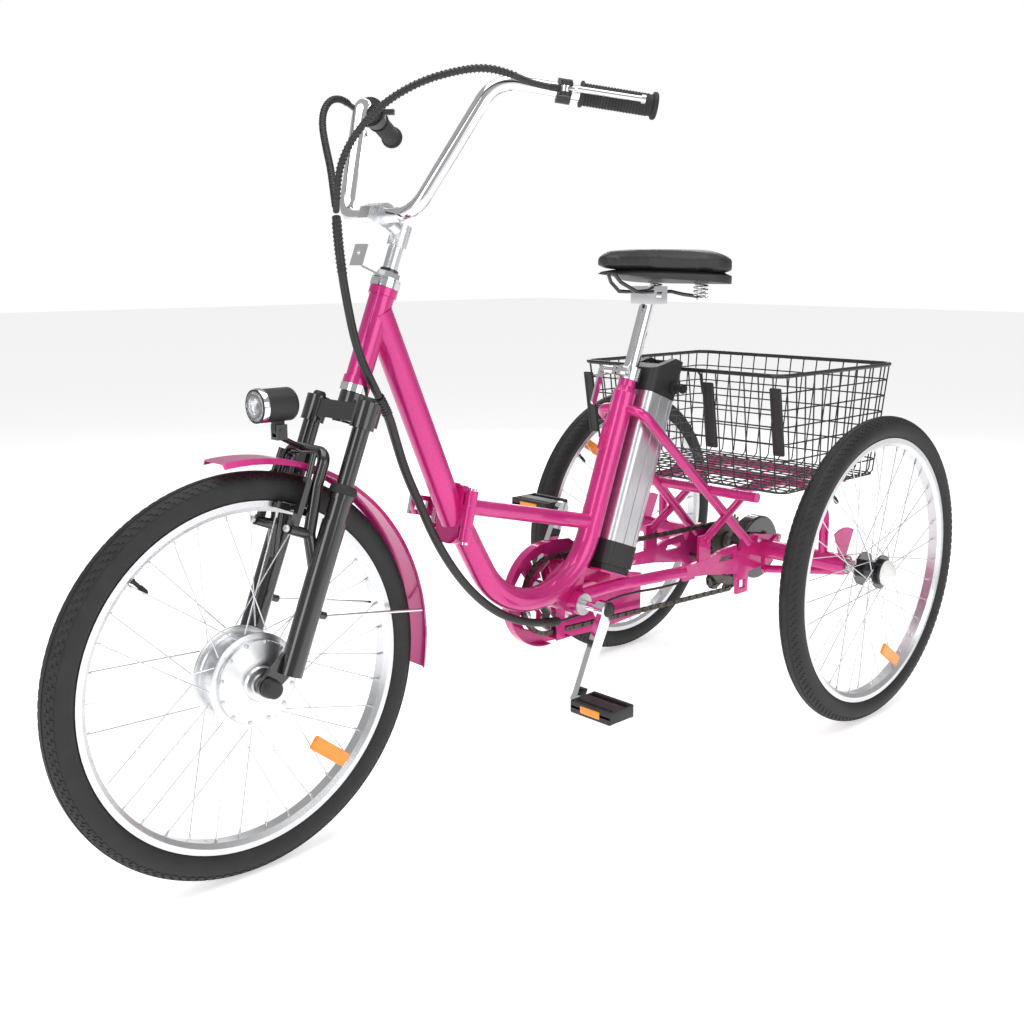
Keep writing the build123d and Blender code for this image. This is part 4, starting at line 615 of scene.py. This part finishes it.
def bar(name, size, place, bevel=1.0, matrix=None):
    """A bevelled block, size and place in mm."""
    bpy.ops.mesh.primitive_cube_add(size=1, location=at(*place))
    piece = bpy.context.object
    piece.name, piece.scale = name, at(*size)
    settle(piece)
    modified(piece, "BEVEL", width=bevel * MM, segments=3)
    return smooth(settle(piece, matrix), 40)


def sideways(point, way=1):
    """Matrix for a spun piece whose axis lies along Y, outwards for way 1 or -1."""
    return stand(point, (0, way, 0))


print("tools ready")

# %% [markdown]
# ## Tyres
# A tyre is a doughnut cut open at the rim. Its cross-section is drawn from one bead to the other
# and spun. The tread is a raised pattern: a plain rib in the middle and rows of blocks beside it,
# staggered so that the grooves between them make chevrons. The blocks' faces are picked by their
# angle and row, then extruded outwards. One tyre is made and copied.

# %% Carcass and tread
TYRE_MID, TYRE_R = 277.0, 21.9
AROUND, ROWS = 384, 26


def carcass():
    spread = 2.62
    section = []
    for i in range(ROWS + 1):
        a = spread * (2 * i / ROWS - 1)
        section.append((TYRE_MID + TYRE_R * cos(a), TYRE_R * sin(a)))
    return spun("front_tread_tyre", section, AROUND)


def is_block(place, normal):
    across = atan2(place.z, (place.xy.length - TYRE_MID * MM))
    row = round(abs(across) / (2 * 2.62 / ROWS) + 0.5)
    turn = int((atan2(place.y, place.x) + pi) / (2 * pi) * AROUND)
    if row > 5:
        return False
    return row == 1 or (row in (3, 4, 5) and (turn + row) % 3 != 0)


front_tyre = carcass()
pick(front_tyre, is_block)
bpy.ops.mesh.extrude_region_shrink_fatten(TRANSFORM_OT_shrink_fatten={"value": 0.0010})
done()
modified(front_tyre, "SOLIDIFY", thickness=0.0024, offset=-1.0)
smooth(settle(front_tyre, sideways(FRONT_AXLE)), 30)
print("tyre faces", len(front_tyre.data.polygons), "height", round(front_tyre.dimensions.z, 4))

# %% Three tyres
rear_step = REAR_AXLE - FRONT_AXLE
for side, name, body in ((1, "left", "left_wheel"), (-1, "right", "axle")):
    twin = copied(front_tyre, f"{name}_tread_tyre", Matrix.Translation(rear_step + at(0, side * 315, 0)))
    worn(twin, "rear_tyre", body)
    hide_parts(f"{name}_tyre")
worn(front_tyre, "tyre", "front_wheel")
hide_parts("front_tyre")

# %% [markdown]
# ## Nipples, valves and reflectors
# Thirty-six spokes end in steel nipples that stand out of each rim. One nipple is spun, copied
# round the rim and joined into one piece per wheel. Each wheel also has a valve and an amber
# reflector clipped between two spokes.

# %% Nipples
def wheel_nipples(name, centre, body, finish_name="spoke_steel"):
    seed = spun("nipple", [(0, 0), (2.1, 0), (2.1, 4), (1.6, 11), (0, 11)], 8)
    copies = []
    for i in range(36):
        a = 2 * pi * (i + 0.5) / 36
        lean = 0.085 * (1 if i % 2 == 0 else -1)
        rim_at = centre + Vector((cos(a), 0, sin(a))) * 0.2452 + at(0, 2.2 if i % 2 == 0 else -2.2, 0)
        way = Vector((-cos(a), lean, -sin(a)))
        copies.append(copied(seed, f"nipple_{i}", stand(rim_at, way)))
    bpy.data.objects.remove(seed)
    return worn(joined(name, copies), finish_name, body)


LEFT_AXLE, RIGHT_AXLE = REAR_AXLE + at(0, 315, 0), REAR_AXLE + at(0, -315, 0)
WHEELS = (("front", FRONT_AXLE, "front_wheel"), ("left", LEFT_AXLE, "left_wheel"),
          ("right", RIGHT_AXLE, "axle"))
for name, centre, body in WHEELS:
    wheel_nipples(f"{name}_nipples", centre, body)
print("nipples on three rims")

# %% Valves and reflectors
VALVE = [(0, 0), (4.2, 0), (4.2, 6), (3.0, 9), (3.0, 20), (4.0, 20.5), (4.0, 31), (2.6, 34), (0, 34)]
REFLECTOR_TURN = {"front": -131.5, "left": -112.0, "right": 60.5}
REFLECTOR_TILT = {"front": 39.0, "left": 34.0, "right": 30.0}


def reflector(name, centre, turn, tilt, body, side):
    """A bevelled amber bar with a raised rim, on edge between the spokes, whose finish has a faint painted
    glow.
    """
    piece = bar(name, (76, 7, 23), (0, 0, 0), 3.0)
    pick(piece, lambda place, normal: abs(normal.y) > 0.9)
    bpy.ops.mesh.inset(thickness=0.0022, depth=-0.0009, use_individual=False)
    done()
    a = radians(turn)
    place = centre + Vector((cos(a), 0, sin(a))) * 0.203 + at(0, side * 9.5, 0)
    settle(piece, Matrix.Translation(place) @ Matrix.Rotation(-radians(tilt), 4, "Y"))
    return worn(smooth(piece), "amber_painted_glow", body)


for name, centre, body in WHEELS:
    a = radians(47)
    inward = Vector((-cos(a), 0, -sin(a)))
    valve = spun(f"{name}_valve", VALVE, 16, stand(centre - inward * 0.2430, inward))
    worn(valve, "rubber", body)
    reflector(f"{name}_reflector", centre, REFLECTOR_TURN[name], REFLECTOR_TILT[name], body,
              -1 if name == "right" else 1)
print("valves and reflectors fitted")

# %% [markdown]
# ## The motor and the rear hubs
# The hub motor's shell is turned: a drum between two drilled flanges, and a side cover that rises
# as a shallow cone to the axle. Twelve small screws hold each cover. The rear hubs carry white
# domed caps over the axle nuts.

# %% Motor shell
HALF_SHELL = [(34, 40), (26, 40), (24, 43), (15, 43), (15, 46), (6.4, 46)]
SHELL = [(6.4, -46), (15, -46), (15, -43), (24, -43), (26, -40), (34, -40), (38, -38.6), (57, -33),
         (61, -32.4), (62, -30), (62, -26.2), (69.5, -25.8), (71, -24.8), (71, -23.2), (69.5, -22.2),
         (63, -21.6), (61, -19), (61, 19), (63, 21.6), (69.5, 22.2), (71, 23.2), (71, 24.8),
         (69.5, 25.8), (62, 26.2), (62, 30), (61, 32.4), (57, 33), (38, 38.6)] + HALF_SHELL
motor = spun("motor_shell", SHELL, 96, sideways(FRONT_AXLE))
worn(motor, "silver_alloy", "front_wheel")
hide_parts("hub_motor")

SCREW = [(0, 2.2), (1.6, 2.2), (3.0, 1.6), (3.4, 0.0), (3.4, -1.0), (0, -1.0)]
screws = []
for side in (1, -1):
    for i in range(12):
        a = 2 * pi * (i + 0.5) / 12
        place = FRONT_AXLE + Vector((cos(a), 0, sin(a))) * 0.0590 + at(0, side * 32.4, 0)
        screws.append(spun("screw", SCREW, 10, sideways(place, side)))
worn(joined("motor_screws", screws), "zinc_steel", "front_wheel")

# %% Axle nut covers, hub caps and crank caps
COVER = [(6.5, 0), (13.5, 0), (14.5, 1.5), (14.5, 7), (13.2, 9.5), (12.8, 17), (11, 19.5), (0, 20.5)]
CAP = [(0, 17.6), (8, 16.4), (15, 12.8), (20.5, 7.0), (23.6, 2.2), (24.6, 0.9), (24.6, -0.6), (22, -0.6)]
CRANK_CAP = [(0, 2.6), (7, 2.6), (9.5, 1.8), (11, 0.6), (11, -0.5), (0, -0.5)]
for side in (1, -1):
    name = "left" if side > 0 else "right"
    nut = spun(f"{name}_nut_cover", COVER, 40, sideways(FRONT_AXLE + at(0, side * 61.3, 0), side))
    worn(nut, "black_plastic", "fork_lower")
    cap = spun(f"{name}_hub_cap", CAP, 48, sideways(REAR_AXLE + at(0, side * 345.4, 0), side))
    worn(cap, "white_plastic", "left_wheel" if side > 0 else "axle")
    crank_cap = spun(f"{name}_crank_cap", CRANK_CAP, 32, sideways(CRANK_AXLE + at(0, side * 96.2, 0), side))
    worn(crank_cap, "black_plastic", "crank")
print("caps and covers fitted")


# %% [markdown]
# ## The wire basket
# The basket is welded from wire: rings of thin wire round a tapering box, wires that run down one
# wall, under the floor and up the other, and a thick rod round the top edge. Every wire is a line
# with a round section, so the basket is drawn as lines through a few corner points.

# %% Basket rings and uprights
BASKET_TOP = {"x0": -775.0, "x1": -365.0, "y": 245.0, "z": 687.8}
BASKET_LOW = {"x0": -745.0, "x1": -405.0, "y": 235.0, "z": 458.8}


def level(share, inset):
    """The basket's outline corners at a share of its height, moved inwards."""
    mix = {key: BASKET_LOW[key] + (BASKET_TOP[key] - BASKET_LOW[key]) * share for key in BASKET_LOW}
    return mix["x0"] + inset, mix["x1"] - inset, mix["y"] - inset, mix["z"]


def ring(share, inset, corner=20.0):
    x0, x1, y, z = level(share, inset)
    points = []
    for cx, cy, first in ((x1 - corner, y - corner, 0), (x0 + corner, y - corner, 90),
                          (x0 + corner, -y + corner, 180), (x1 - corner, -y + corner, 270)):
        for step in range(6):
            a = radians(first + 18 * step)
            points.append(at(cx + corner * cos(a), cy + corner * sin(a), z))
    return points


def hoop(across, share_x):
    """One wire down a wall, along the floor and up; along X if share_x, else along Y."""
    x0t, x1t, yt, zt = level(0.985, 4.6)
    x0b, x1b, yb, zb = level(0.006, 3.0)
    low, bend = zb + 1.8, 9.0
    if share_x:
        top, bottom = across * (yt - 18), across * (yb - 18)
        return [at(x1t, top, zt), at(x1b + 1.5, bottom, low + bend), at(x1b - bend, bottom, low),
                at(x0b + bend, bottom, low), at(x0b - 1.5, bottom, low + bend), at(x0t, top, zt)]
    middle_t, middle_b = (x0t + x1t) / 2, (x0b + x1b) / 2
    top = middle_t + across * ((x1t - x0t) / 2 - 18)
    bottom = middle_b + across * ((x1b - x0b) / 2 - 18)
    return [at(top, yt, zt), at(bottom, yb + 1.0, low + bend), at(bottom, yb - bend, low),
            at(bottom, -yb + bend, low), at(bottom, -yb - 1.0, low + bend), at(top, -yt, zt)]


rings = drawn("basket_rings", [ring(s, 5.6) for s in (0.02, 0.15, 0.29, 0.43, 0.57, 0.71, 0.85)],
              True, 1.5 * MM, 1)
uprights = drawn("basket_uprights", [hoop(i / 7, True) for i in range(-7, 8)]
                 + [hoop(i / 6, False) for i in range(-6, 7)], False, 1.5 * MM, 1)
rim_rod = drawn("basket_rim", [ring(0.985, 4.2, 24.0)], True, 4.0 * MM, 4)
basket = joined("wire_basket", [rings, uprights, rim_rod])
worn(basket, "black_coated_wire", "rear_frame")
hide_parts("basket")
print("basket wires", len(basket.data.polygons), "faces")

# %% Basket clips and front handle
clip_turn = Matrix.Rotation(atan2(40, 229), 4, "Y")
clips = []
for y in (-228, -78, 78, 228):
    piece = bar("clip", (7, 24, 128), (0, 0, 0), 3.0)
    pick(piece, lambda place, normal: normal.x > 0.9)
    bpy.ops.mesh.inset(thickness=0.004, depth=-0.0015)
    done()
    clips.append(settle(piece, Matrix.Translation(at(-382, y, 600)) @ clip_turn))
worn(smooth(joined("basket_clips", clips)), "black_plastic", "rear_frame")
handle_lines = []
for side in (1, -1):
    handle_lines.append([at(-380, side * 60, 640), at(-371, side * 60, 676), at(-371, side * 54, 682),
                         at(-371, side * 12, 682), at(-371, side * 6, 676), at(-380, side * 6, 640)])
worn(drawn("basket_handles", handle_lines, False, 2.2 * MM, 2), "black_coated_wire", "rear_frame")

# %% [markdown]
# ## The roller chain
# A roller chain is one link repeated: two side plates shaped like a figure eight, and a roller at
# each pin. The links follow the path round ring, cog and pulleys, which is found first as straight
# runs and arcs. Each link keeps to a few dozen faces, because there are more than a hundred.

# %% Chain path
def sprocket(teeth):
    return 12.7 / (2 * sin(pi / teeth))


STOPS = [(-78.0, 278.0, sprocket(36), 1), (-600.0, 300.0, sprocket(18), 1),
         (-586.0, 216.0, sprocket(10), -1), (-636.0, 202.0, sprocket(10), 1)]


def tangent(first, second):
    x1, z1, r1, s1 = first
    x2, z2, r2, s2 = second
    dx, dz, lean = x2 - x1, z2 - z1, s2 * r2 - s1 * r1
    a = atan2(dz, dx) - atan2(lean, sqrt(dx * dx + dz * dz - lean * lean))
    side = (-sin(a), cos(a))
    return ((x1 - s1 * r1 * side[0], z1 - s1 * r1 * side[1]),
            (x2 - s2 * r2 * side[0], z2 - s2 * r2 * side[1]))


def chain_path(step=1.0):
    """Points every step mm along the closed chain line."""
    runs = [tangent(STOPS[i], STOPS[(i + 1) % 4]) for i in range(4)]
    path = []
    for i, (start, end) in enumerate(runs):
        length = sqrt((end[0] - start[0]) ** 2 + (end[1] - start[1]) ** 2)
        for k in range(int(length / step)):
            t = k * step / length
            path.append((start[0] + (end[0] - start[0]) * t, start[1] + (end[1] - start[1]) * t))
        cx, cz, radius, sense = STOPS[(i + 1) % 4]
        leave = runs[(i + 1) % 4][0]
        a0 = atan2(end[1] - cz, end[0] - cx)
        turn = (atan2(leave[1] - cz, leave[0] - cx) - a0) * sense % (2 * pi)
        for k in range(int(turn * radius / step)):
            a = a0 + sense * k * step / radius
            path.append((cx + radius * cos(a), cz + radius * sin(a)))
    return path


line = chain_path(0.5)
links = round(len(line) * 0.5 / 12.7 / 2) * 2
pins = [line[int(i * len(line) / links) % len(line)] for i in range(links)]
print("chain of", links, "links")

# %% Links and rollers
def side_plate(name, outer):
    """A figure-eight plate 12.7 mm between pins, lying in XZ."""
    outline = []
    for end, first in ((6.35, -90), (-6.35, 90)):
        for step in range(6):
            a = radians(first + 36 * step)
            outline.append(at(end + 4.1 * cos(a), 0, 4.1 * sin(a)))
    plate = drawn(name, [outline], True)
    pick(plate, lambda place, normal: True, "VERT")
    bpy.ops.mesh.edge_face_add()
    bpy.ops.mesh.extrude_region_move(TRANSFORM_OT_translate={"value": (0, 1.1 * MM, 0)})
    bpy.ops.mesh.select_all(action="SELECT")
    bpy.ops.mesh.normals_make_consistent(inside=False)
    done()
    plate.data.transform(Matrix.Translation(at(0, outer, 0)))
    return plate


def link_at(seed, start, end, name):
    middle = at((start[0] + end[0]) / 2, -48, (start[1] + end[1]) / 2)
    turn = -atan2(end[1] - start[1], end[0] - start[0])
    return copied(seed, name, Matrix.Translation(middle) @ Matrix.Rotation(turn, 4, "Y"))


inner = joined("inner_link", [side_plate("a", 1.9), side_plate("b", -3.0)])
outer = joined("outer_link", [side_plate("c", 3.1), side_plate("d", -4.2)])
roller = spun("roller", [(0, -5.2), (1.7, -5.2), (1.7, -2.0), (3.9, -2.0), (3.9, 2.0), (1.7, 2.0),
                         (1.7, 5.2), (0, 5.2)], 8, sideways(Vector((0, 0, 0))))
pieces = []
for i in range(links):
    start, end = pins[i], pins[(i + 1) % links]
    pieces.append(link_at(inner if i % 2 else outer, start, end, f"link_{i}"))
    pieces.append(copied(roller, f"roller_{i}", Matrix.Translation(at(start[0], -48, start[1]))))
chain = smooth(joined("roller_chain", pieces), 30)
for seed in (inner, outer, roller):
    bpy.data.objects.remove(seed)
worn(chain, "chain_steel", "rear_frame")
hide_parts("drive_chain")
print("chain faces", len(chain.data.polygons))

# %% [markdown]
# ## Leads and cables
# The leads from both ends of the bar are bound in a spiral wrap, meet in front of the
# stem and run down past the head tube. A sleeve carries them under the down tube, and one
# thin cable goes on along the left stay. Each is a smooth line through a few points, made a tube.
# The wrap is a thin ribbon wound round its lead.

# %% Routes
def smooth_line(points):
    """Points along the NURBS line whose control points are given in mm."""
    curve = bpy.data.curves.new("route", "CURVE")
    curve.dimensions = "3D"
    spline = curve.splines.new("NURBS")
    spline.points.add(len(points) - 1)
    for knot, place in zip(spline.points, points):
        knot.co = (*at(*place), 1.0)
    spline.order_u = 3
    spline.use_endpoint_u = True
    spline.resolution_u = 8
    holder = bpy.data.objects.new("route", curve)
    mesh = bpy.data.meshes.new_from_object(holder)
    path = [corner.co.copy() for corner in mesh.vertices]
    bpy.data.objects.remove(holder)
    return path


def length_of(path):
    return sum((b - a).length for a, b in zip(path, path[1:]))


def wound(path, radius, pitch, start=0.0, end=1.0, steps=10):
    """Points of a helix round a path, between two shares of its length."""
    total, gone, points, angle = length_of(path), 0.0, [], 0.0
    side = (path[1] - path[0]).orthogonal().normalized()
    for a, b in zip(path, path[1:]):
        way = (b - a).normalized()
        side = (side - way * side.dot(way)).normalized()
        across = way.cross(side)
        count = max(1, round((b - a).length / pitch * steps))
        for k in range(count):
            t = k / count
            share = (gone + (b - a).length * t) / total
            if start <= share <= end:
                points.append(a + (b - a) * t + (side * cos(angle) + across * sin(angle)) * radius)
            angle += 2 * pi / steps
        gone += (b - a).length
    return points


LEFT_POINTS = [(248, 189, 1140), (284, 176, 1147), (320, 158, 1141), (361, 132, 1127), (393, 100, 1104),
               (415, 70, 1074), (426, 42, 1040), (428, 20, 1002), (422, 9, 958)]
RIGHT_POINTS = [(268, -182, 1140), (293, -176, 1137), (315, -166, 1120), (333, -147, 1093),
                (352, -112, 1058), (375, -68, 1021), (397, -32, 988), (409, -10, 957)]
HEAD_POINTS = [(417, 1, 949), (426, 17, 909), (421, 18, 862), (415, 20, 822), (410, 25, 782),
               (403, 33, 744), (389, 37, 714), (369, 27, 690)]
SLEEVE_POINTS = [(367.5, 26.2, 688), (343, 16, 660), (320, 2, 620), (299, -2, 566), (270, 0, 505),
                 (239, 2, 440), (198, 0, 382), (152, -2, 332), (101, 0, 291), (48, 2, 265),
                 (-4, 1, 250), (-50, 0, 244)]
STAY_POINTS = [(-51, 2, 244), (-84, 16, 250), (-120, 26, 260), (-170, 28, 270), (-225, 39, 274),
               (-280, 50, 272), (-330, 53, 273)]


def lead_start(side):
    inner_end = -22.0 if side > 0 else -43.0
    place = lever_plane(side)
    first = (place @ at(20, 0, inner_end - 0.6)) / MM
    second = (place @ at(22, 0, inner_end - 24)) / MM
    return [tuple(first), tuple(second)]


# %% Bar leads with their spiral wrap
def lead(name, points, radius, body, wrap=None, bend=None):
    """A tube along a route, with its wrap if it has one."""
    path = smooth_line(points)
    parts = [drawn(name, [path], False, radius * MM, 4)]
    for start, end in wrap or ():
        helix = wound(path, (radius + 0.1) * MM, 6.2 * MM, start, end)
        parts.append(drawn("wrap", [helix], False, 1.25 * MM, 1))
    tube = joined(name, parts)
    worn(tube, "cable_jacket", None if bend else body)
    if bend:
        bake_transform(tube)
    print(name, round(length_of(path), 3), "m long")
    return tube


left_lead = lead("left_lead", lead_start(1) + LEFT_POINTS, 4.6, "stem", [(0.12, 0.97)],
                 bend=("stem", "fork_upper", at(415, 70, 1074), at(422, 9, 970)))
lead("right_lead", lead_start(-1) + RIGHT_POINTS, 4.6, "stem", [(0.10, 0.97)],
     bend=("stem", "fork_upper", at(375, -68, 1021), at(409, -10, 965)))
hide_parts("bar_leads")

# %% Trunk, sleeve and stay cable
trunk = lead("head_lead", HEAD_POINTS, 6.4, "fork_upper", [(0.02, 0.30)],
             bend=("fork_upper", "front_frame", at(410, 25, 782), at(372, 28, 700)))
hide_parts("head_leads")
sleeve = lead("down_sleeve", SLEEVE_POINTS, 7.4, "front_frame", [(0.0, 0.06), (0.94, 1.0)],
              bend=("front_frame", "rear_frame", at(262, 1, 490), at(210, 1, 398)))
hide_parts("cable_sleeve")
lead("stay_cable", STAY_POINTS, 2.4, "rear_frame")


# %% [markdown]
# ## The saddle
# The saddle is a foam pad under vinyl on a moulded shell. The pad starts as a grid whose edge
# follows the saddle's outline and whose middle is raised, closed underneath. Cloth simulation then
# swells it as foam does, and one subdivision smooths it. The shell is the same outline, pulled in.

# %% Saddle outline and pad
SADDLE_OUTLINE = [(-150, 4), (-152, 17), (-162, 30), (-186, 37), (-210, 42), (-235, 49), (-260, 60),
                  (-285, 78), (-310, 96), (-333, 112), (-355, 121), (-378, 123), (-395, 118),
                  (-406, 107), (-410, 90), (-412, 60)]
PAD_TOP, NOSE_X, TAIL_X = 910.0, -150.0, -412.0


def saddle_shell(name, inset, top_drop, low_nose, low_rear, across=14):
    """A closed form on the saddle's outline: cross-sections from nose to tail."""
    bpy.ops.mesh.primitive_grid_add(x_subdivisions=len(SADDLE_OUTLINE) - 1, y_subdivisions=across, size=2)
    piece = bpy.context.object
    piece.name = name
    for corner in piece.data.vertices:
        row = round((1 - corner.co.x) / 2 * (len(SADDLE_OUTLINE) - 1))
        share = corner.co.y
        x, half = SADDLE_OUTLINE[row]
        back = (NOSE_X - x) / (NOSE_X - TAIL_X)
        half = max(half - inset, 2)
        x = x - inset * (1 - 2 * back)
        drop = (5.0 + 15.0 * back) * abs(share) ** 2.6 + 7.0 * (1 - back) ** 4
        dish = 3.0 * (1 - abs(share)) * back * 2
        corner.co = at(x, half * share, PAD_TOP - top_drop - drop - dish + 3.5 * back)

    def low_of(place):
        back = (NOSE_X - place.x / MM) / (NOSE_X - TAIL_X)
        return PAD_TOP - low_nose - (low_rear - low_nose) * back

    pick(piece, lambda place, normal: True, "VERT")
    bpy.ops.mesh.extrude_region_move(TRANSFORM_OT_translate={"value": (0, 0, -0.030)})
    done()
    fresh = [corner.select for corner in piece.data.vertices]
    for corner, moved in zip(piece.data.vertices, fresh):
        if moved:
            corner.co.z = low_of(corner.co) * MM
    pick(piece, lambda place, normal: True)
    bpy.ops.mesh.normals_make_consistent(inside=False)
    done()
    return piece


pad = saddle_shell("saddle_pad", 4.0, 5.0, 30.0, 44.0)
modified(pad, "REMESH", mode="VOXEL", voxel_size=0.005)
rest = [corner.co.copy() for corner in pad.data.vertices]
only(pad)
cloth = pad.modifiers.new("Cloth", "CLOTH")
cloth.settings.use_pressure, cloth.settings.uniform_pressure_force = True, 4.0
cloth.settings.effector_weights.gravity = 0.0
for number in range(1, 21):
    bpy.context.scene.frame_set(number)
bpy.ops.object.modifier_apply(modifier=cloth.name)
bpy.context.scene.frame_set(1)
for corner, start in zip(pad.data.vertices, rest):
    step = corner.co - start
    if step.length > 0.005:
        corner.co = start + step.normalized() * 0.005
modified(pad, "SUBSURF", levels=1, render_levels=1)
worn(smooth(pad, 60), "saddle_cover", "seat")
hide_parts("saddle")
print("saddle pad", len(pad.data.polygons), "faces")

# %% Saddle base, rails and springs
base_plate = saddle_shell("saddle_base", 7.0, 34.0, 44.0, 66.0)
modified(base_plate, "BEVEL", width=1.5 * MM, segments=2)
worn(smooth(base_plate, 50), "black_plastic", "seat")
rail_lines, coils = [], []
for side in (1, -1):
    rail_lines.append([at(-176, side * 6, 868), at(-192, side * 12, 850), at(-225, side * 21, 833),
                       at(-250, side * 21, 831.6), at(-325, side * 21, 831.6), at(-350, side * 30, 826),
                       at(-370, side * 55, 822)])
    turns = [at(-370 + 12.4 * cos(a), side * 55 + 12.4 * sin(a), 819 + 27 * a / (8 * pi))
             for a in np.linspace(0, 8 * pi, 97)]
    coils.append(turns)
worn(drawn("saddle_rails", rail_lines, False, 3.5 * MM, 3), "black_metal", "seat")
worn(drawn("saddle_springs", coils, False, 2.2 * MM, 2), "chrome", "seat")
print("saddle base, rails and springs fitted")

# %% [markdown]
# ## Pedals and grips
# A pedal is a flat cage whose front and back edges are cut into teeth, with a reflector let into
# each. A grip is a rubber sleeve with rings moulded round it, so one ring is drawn many times in
# its profile before it is spun.

# %% Pedals
PEDAL_AT = {1: at(-6.7, 0, 129.2), -1: at(-149.3, 0, 426.8)}
for side in (1, -1):
    name = "left" if side > 0 else "right"
    centre = PEDAL_AT[side] + at(0, side * 148, 0)
    parts = [bar("tread", (62, 92, 7), (0, 0, 0), 1.5), bar("body", (30, 92, 21), (0, 0, 0), 4.0)]
    for way in (1, -1):
        parts.append(bar("edge", (7, 92, 23), (way * 27.5, 0, 0), 1.5))
        for i in range(11):
            parts.append(bar("tooth", (4, 3.6, 24.4), (way * 27.5, -40 + 8 * i, 0), 0.8))
    for y in (-44, 44):
        parts.append(bar("end", (60, 4.5, 22), (0, y, 0), 1.5))
    cage = joined(f"{name}_pedal_cage", parts)
    settle(cage, Matrix.Translation(centre))
    worn(smooth(cage, 40), "black_plastic", f"{name}_pedal")
    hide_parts(f"{name}_pedal")
    lamps = []
    for way in (1, -1):
        lamp = bar("lamp", (2, 44, 13), (way * 31.2, 0, 0), 0.8)
        lamps.append(settle(lamp, Matrix.Translation(centre)))
    # The pedal reflectors wear the amber finish with its faint painted glow.
    worn(smooth(joined(f"{name}_pedal_reflectors", lamps)), "amber_painted_glow", f"{name}_pedal")
    spindle = spun(f"{name}_spindle", [(0, -58), (8.5, -58), (8.5, -47), (6, -46), (6, -40), (0, -40)], 24,
                   sideways(centre, side))
    worn(spindle, "zinc_steel", f"{name}_pedal")

# %% Grips
for side in (1, -1):
    grip_end, bend = (BAR_END, BAR_TOP) if side > 0 else (mirrored(BAR_END), mirrored(BAR_TOP))
    long = 112 if side > 0 else 115
    profile = [(11.4, 1.0), (17.5, 1.0), (18.2, 2.2), (18.2, 4.6), (16.0, 6.0)]
    for i in range(int((long - 18) / 4.4)):
        low = 8 + 4.4 * i
        profile += [(14.7, low), (15.6, low + 0.8), (15.6, low + 2.9), (14.7, low + 3.6)]
    profile += [(15.0, long - 8), (18.9, long - 6), (19.2, long - 2), (17.5, long), (0, long + 0.6)]
    inner = grip_end - (grip_end - bend).normalized() * long * MM
    grip = spun("left_grip_sleeve" if side > 0 else "throttle_sleeve", profile, 40,
                stand(inner, grip_end - bend))
    worn(grip, "rubber", "stem" if side > 0 else "throttle")
    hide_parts("left_grip" if side > 0 else "throttle_grip")
print("pedals and grips fitted")

# %% [markdown]
# ## Lamp, bolts and small fittings
# A headlight reads as one when its reflector and rim show behind the lens, and a bicycle reads as
# real through its bolts. A button-head bolt is spun once and copied to every place that has one.

# %% Headlight
lamp_axis = stand(at(0, 0, 0), (1, 0, 0))
lamp_place = Matrix.Translation(at(534, 0, 688))
rim = spun("lamp_rim", [(21.8, 27.6), (22.6, 29.4), (24.6, 29.4), (25.4, 27.6), (25.4, 21), (24.2, 20)], 48,
           lamp_place @ lamp_axis)
worn(rim, "chrome", "headlight")
bowl = spun("lamp_bowl", [(5.0, 17.4), (9, 17.9), (14, 19.6), (18, 22.4), (20.6, 26.0)], 48,
            lamp_place @ lamp_axis)
worn(bowl, "silver_film", "headlight")

# %% Bolts
BOLT = [(0, 2.6), (1.5, 2.6), (1.7, 3.6), (3.4, 3.4), (4.4, 2.0), (4.6, 0.2), (4.6, -0.4), (0, -0.4)]


def bolts(name, body, places, scale=1.0, finish_name="zinc_steel"):
    heads = []
    for place, way in places:
        heads.append(spun("bolt", [(r * scale, h * scale) for r, h in BOLT], 12, stand(place, way)))
    return worn(joined(name, heads), finish_name, body)


ears = []
for side in (1, -1):
    for turn in (35, 155, 275):
        a = radians(turn)
        spot = REAR_AXLE + at(42 * cos(a), side * 76.0, 42 * sin(a))
        ears.append((spot, (0, side, 0)))
bolts("housing_bolts", "rear_frame", ears)
bolts("brake_pivot_bolts", "fork_lower",
      [(FORK @ at(33.5, side * 44, 222), FORK.to_3x3() @ Vector((1, 0, 0))) for side in (1, -1)], 1.25)
fork_up = FORK.to_3x3() @ Vector((0, 0, 1))
bolts("fork_caps", "fork_upper", [(FORK @ at(-29, side * 62, 428.2), fork_up) for side in (1, -1)], 2.2,
      "black_plastic")
SEAL = [(13.4, 0), (20.0, 0), (20.6, 2), (20.2, 8), (17.0, 13), (13.4, 14)]
seals = [spun("seal", SEAL, 40, stand(FORK @ at(-29, side * 62, 290.2), fork_up)) for side in (1, -1)]
worn(joined("fork_seals", seals), "rubber", "fork_lower")
print("lamp and bolts fitted")
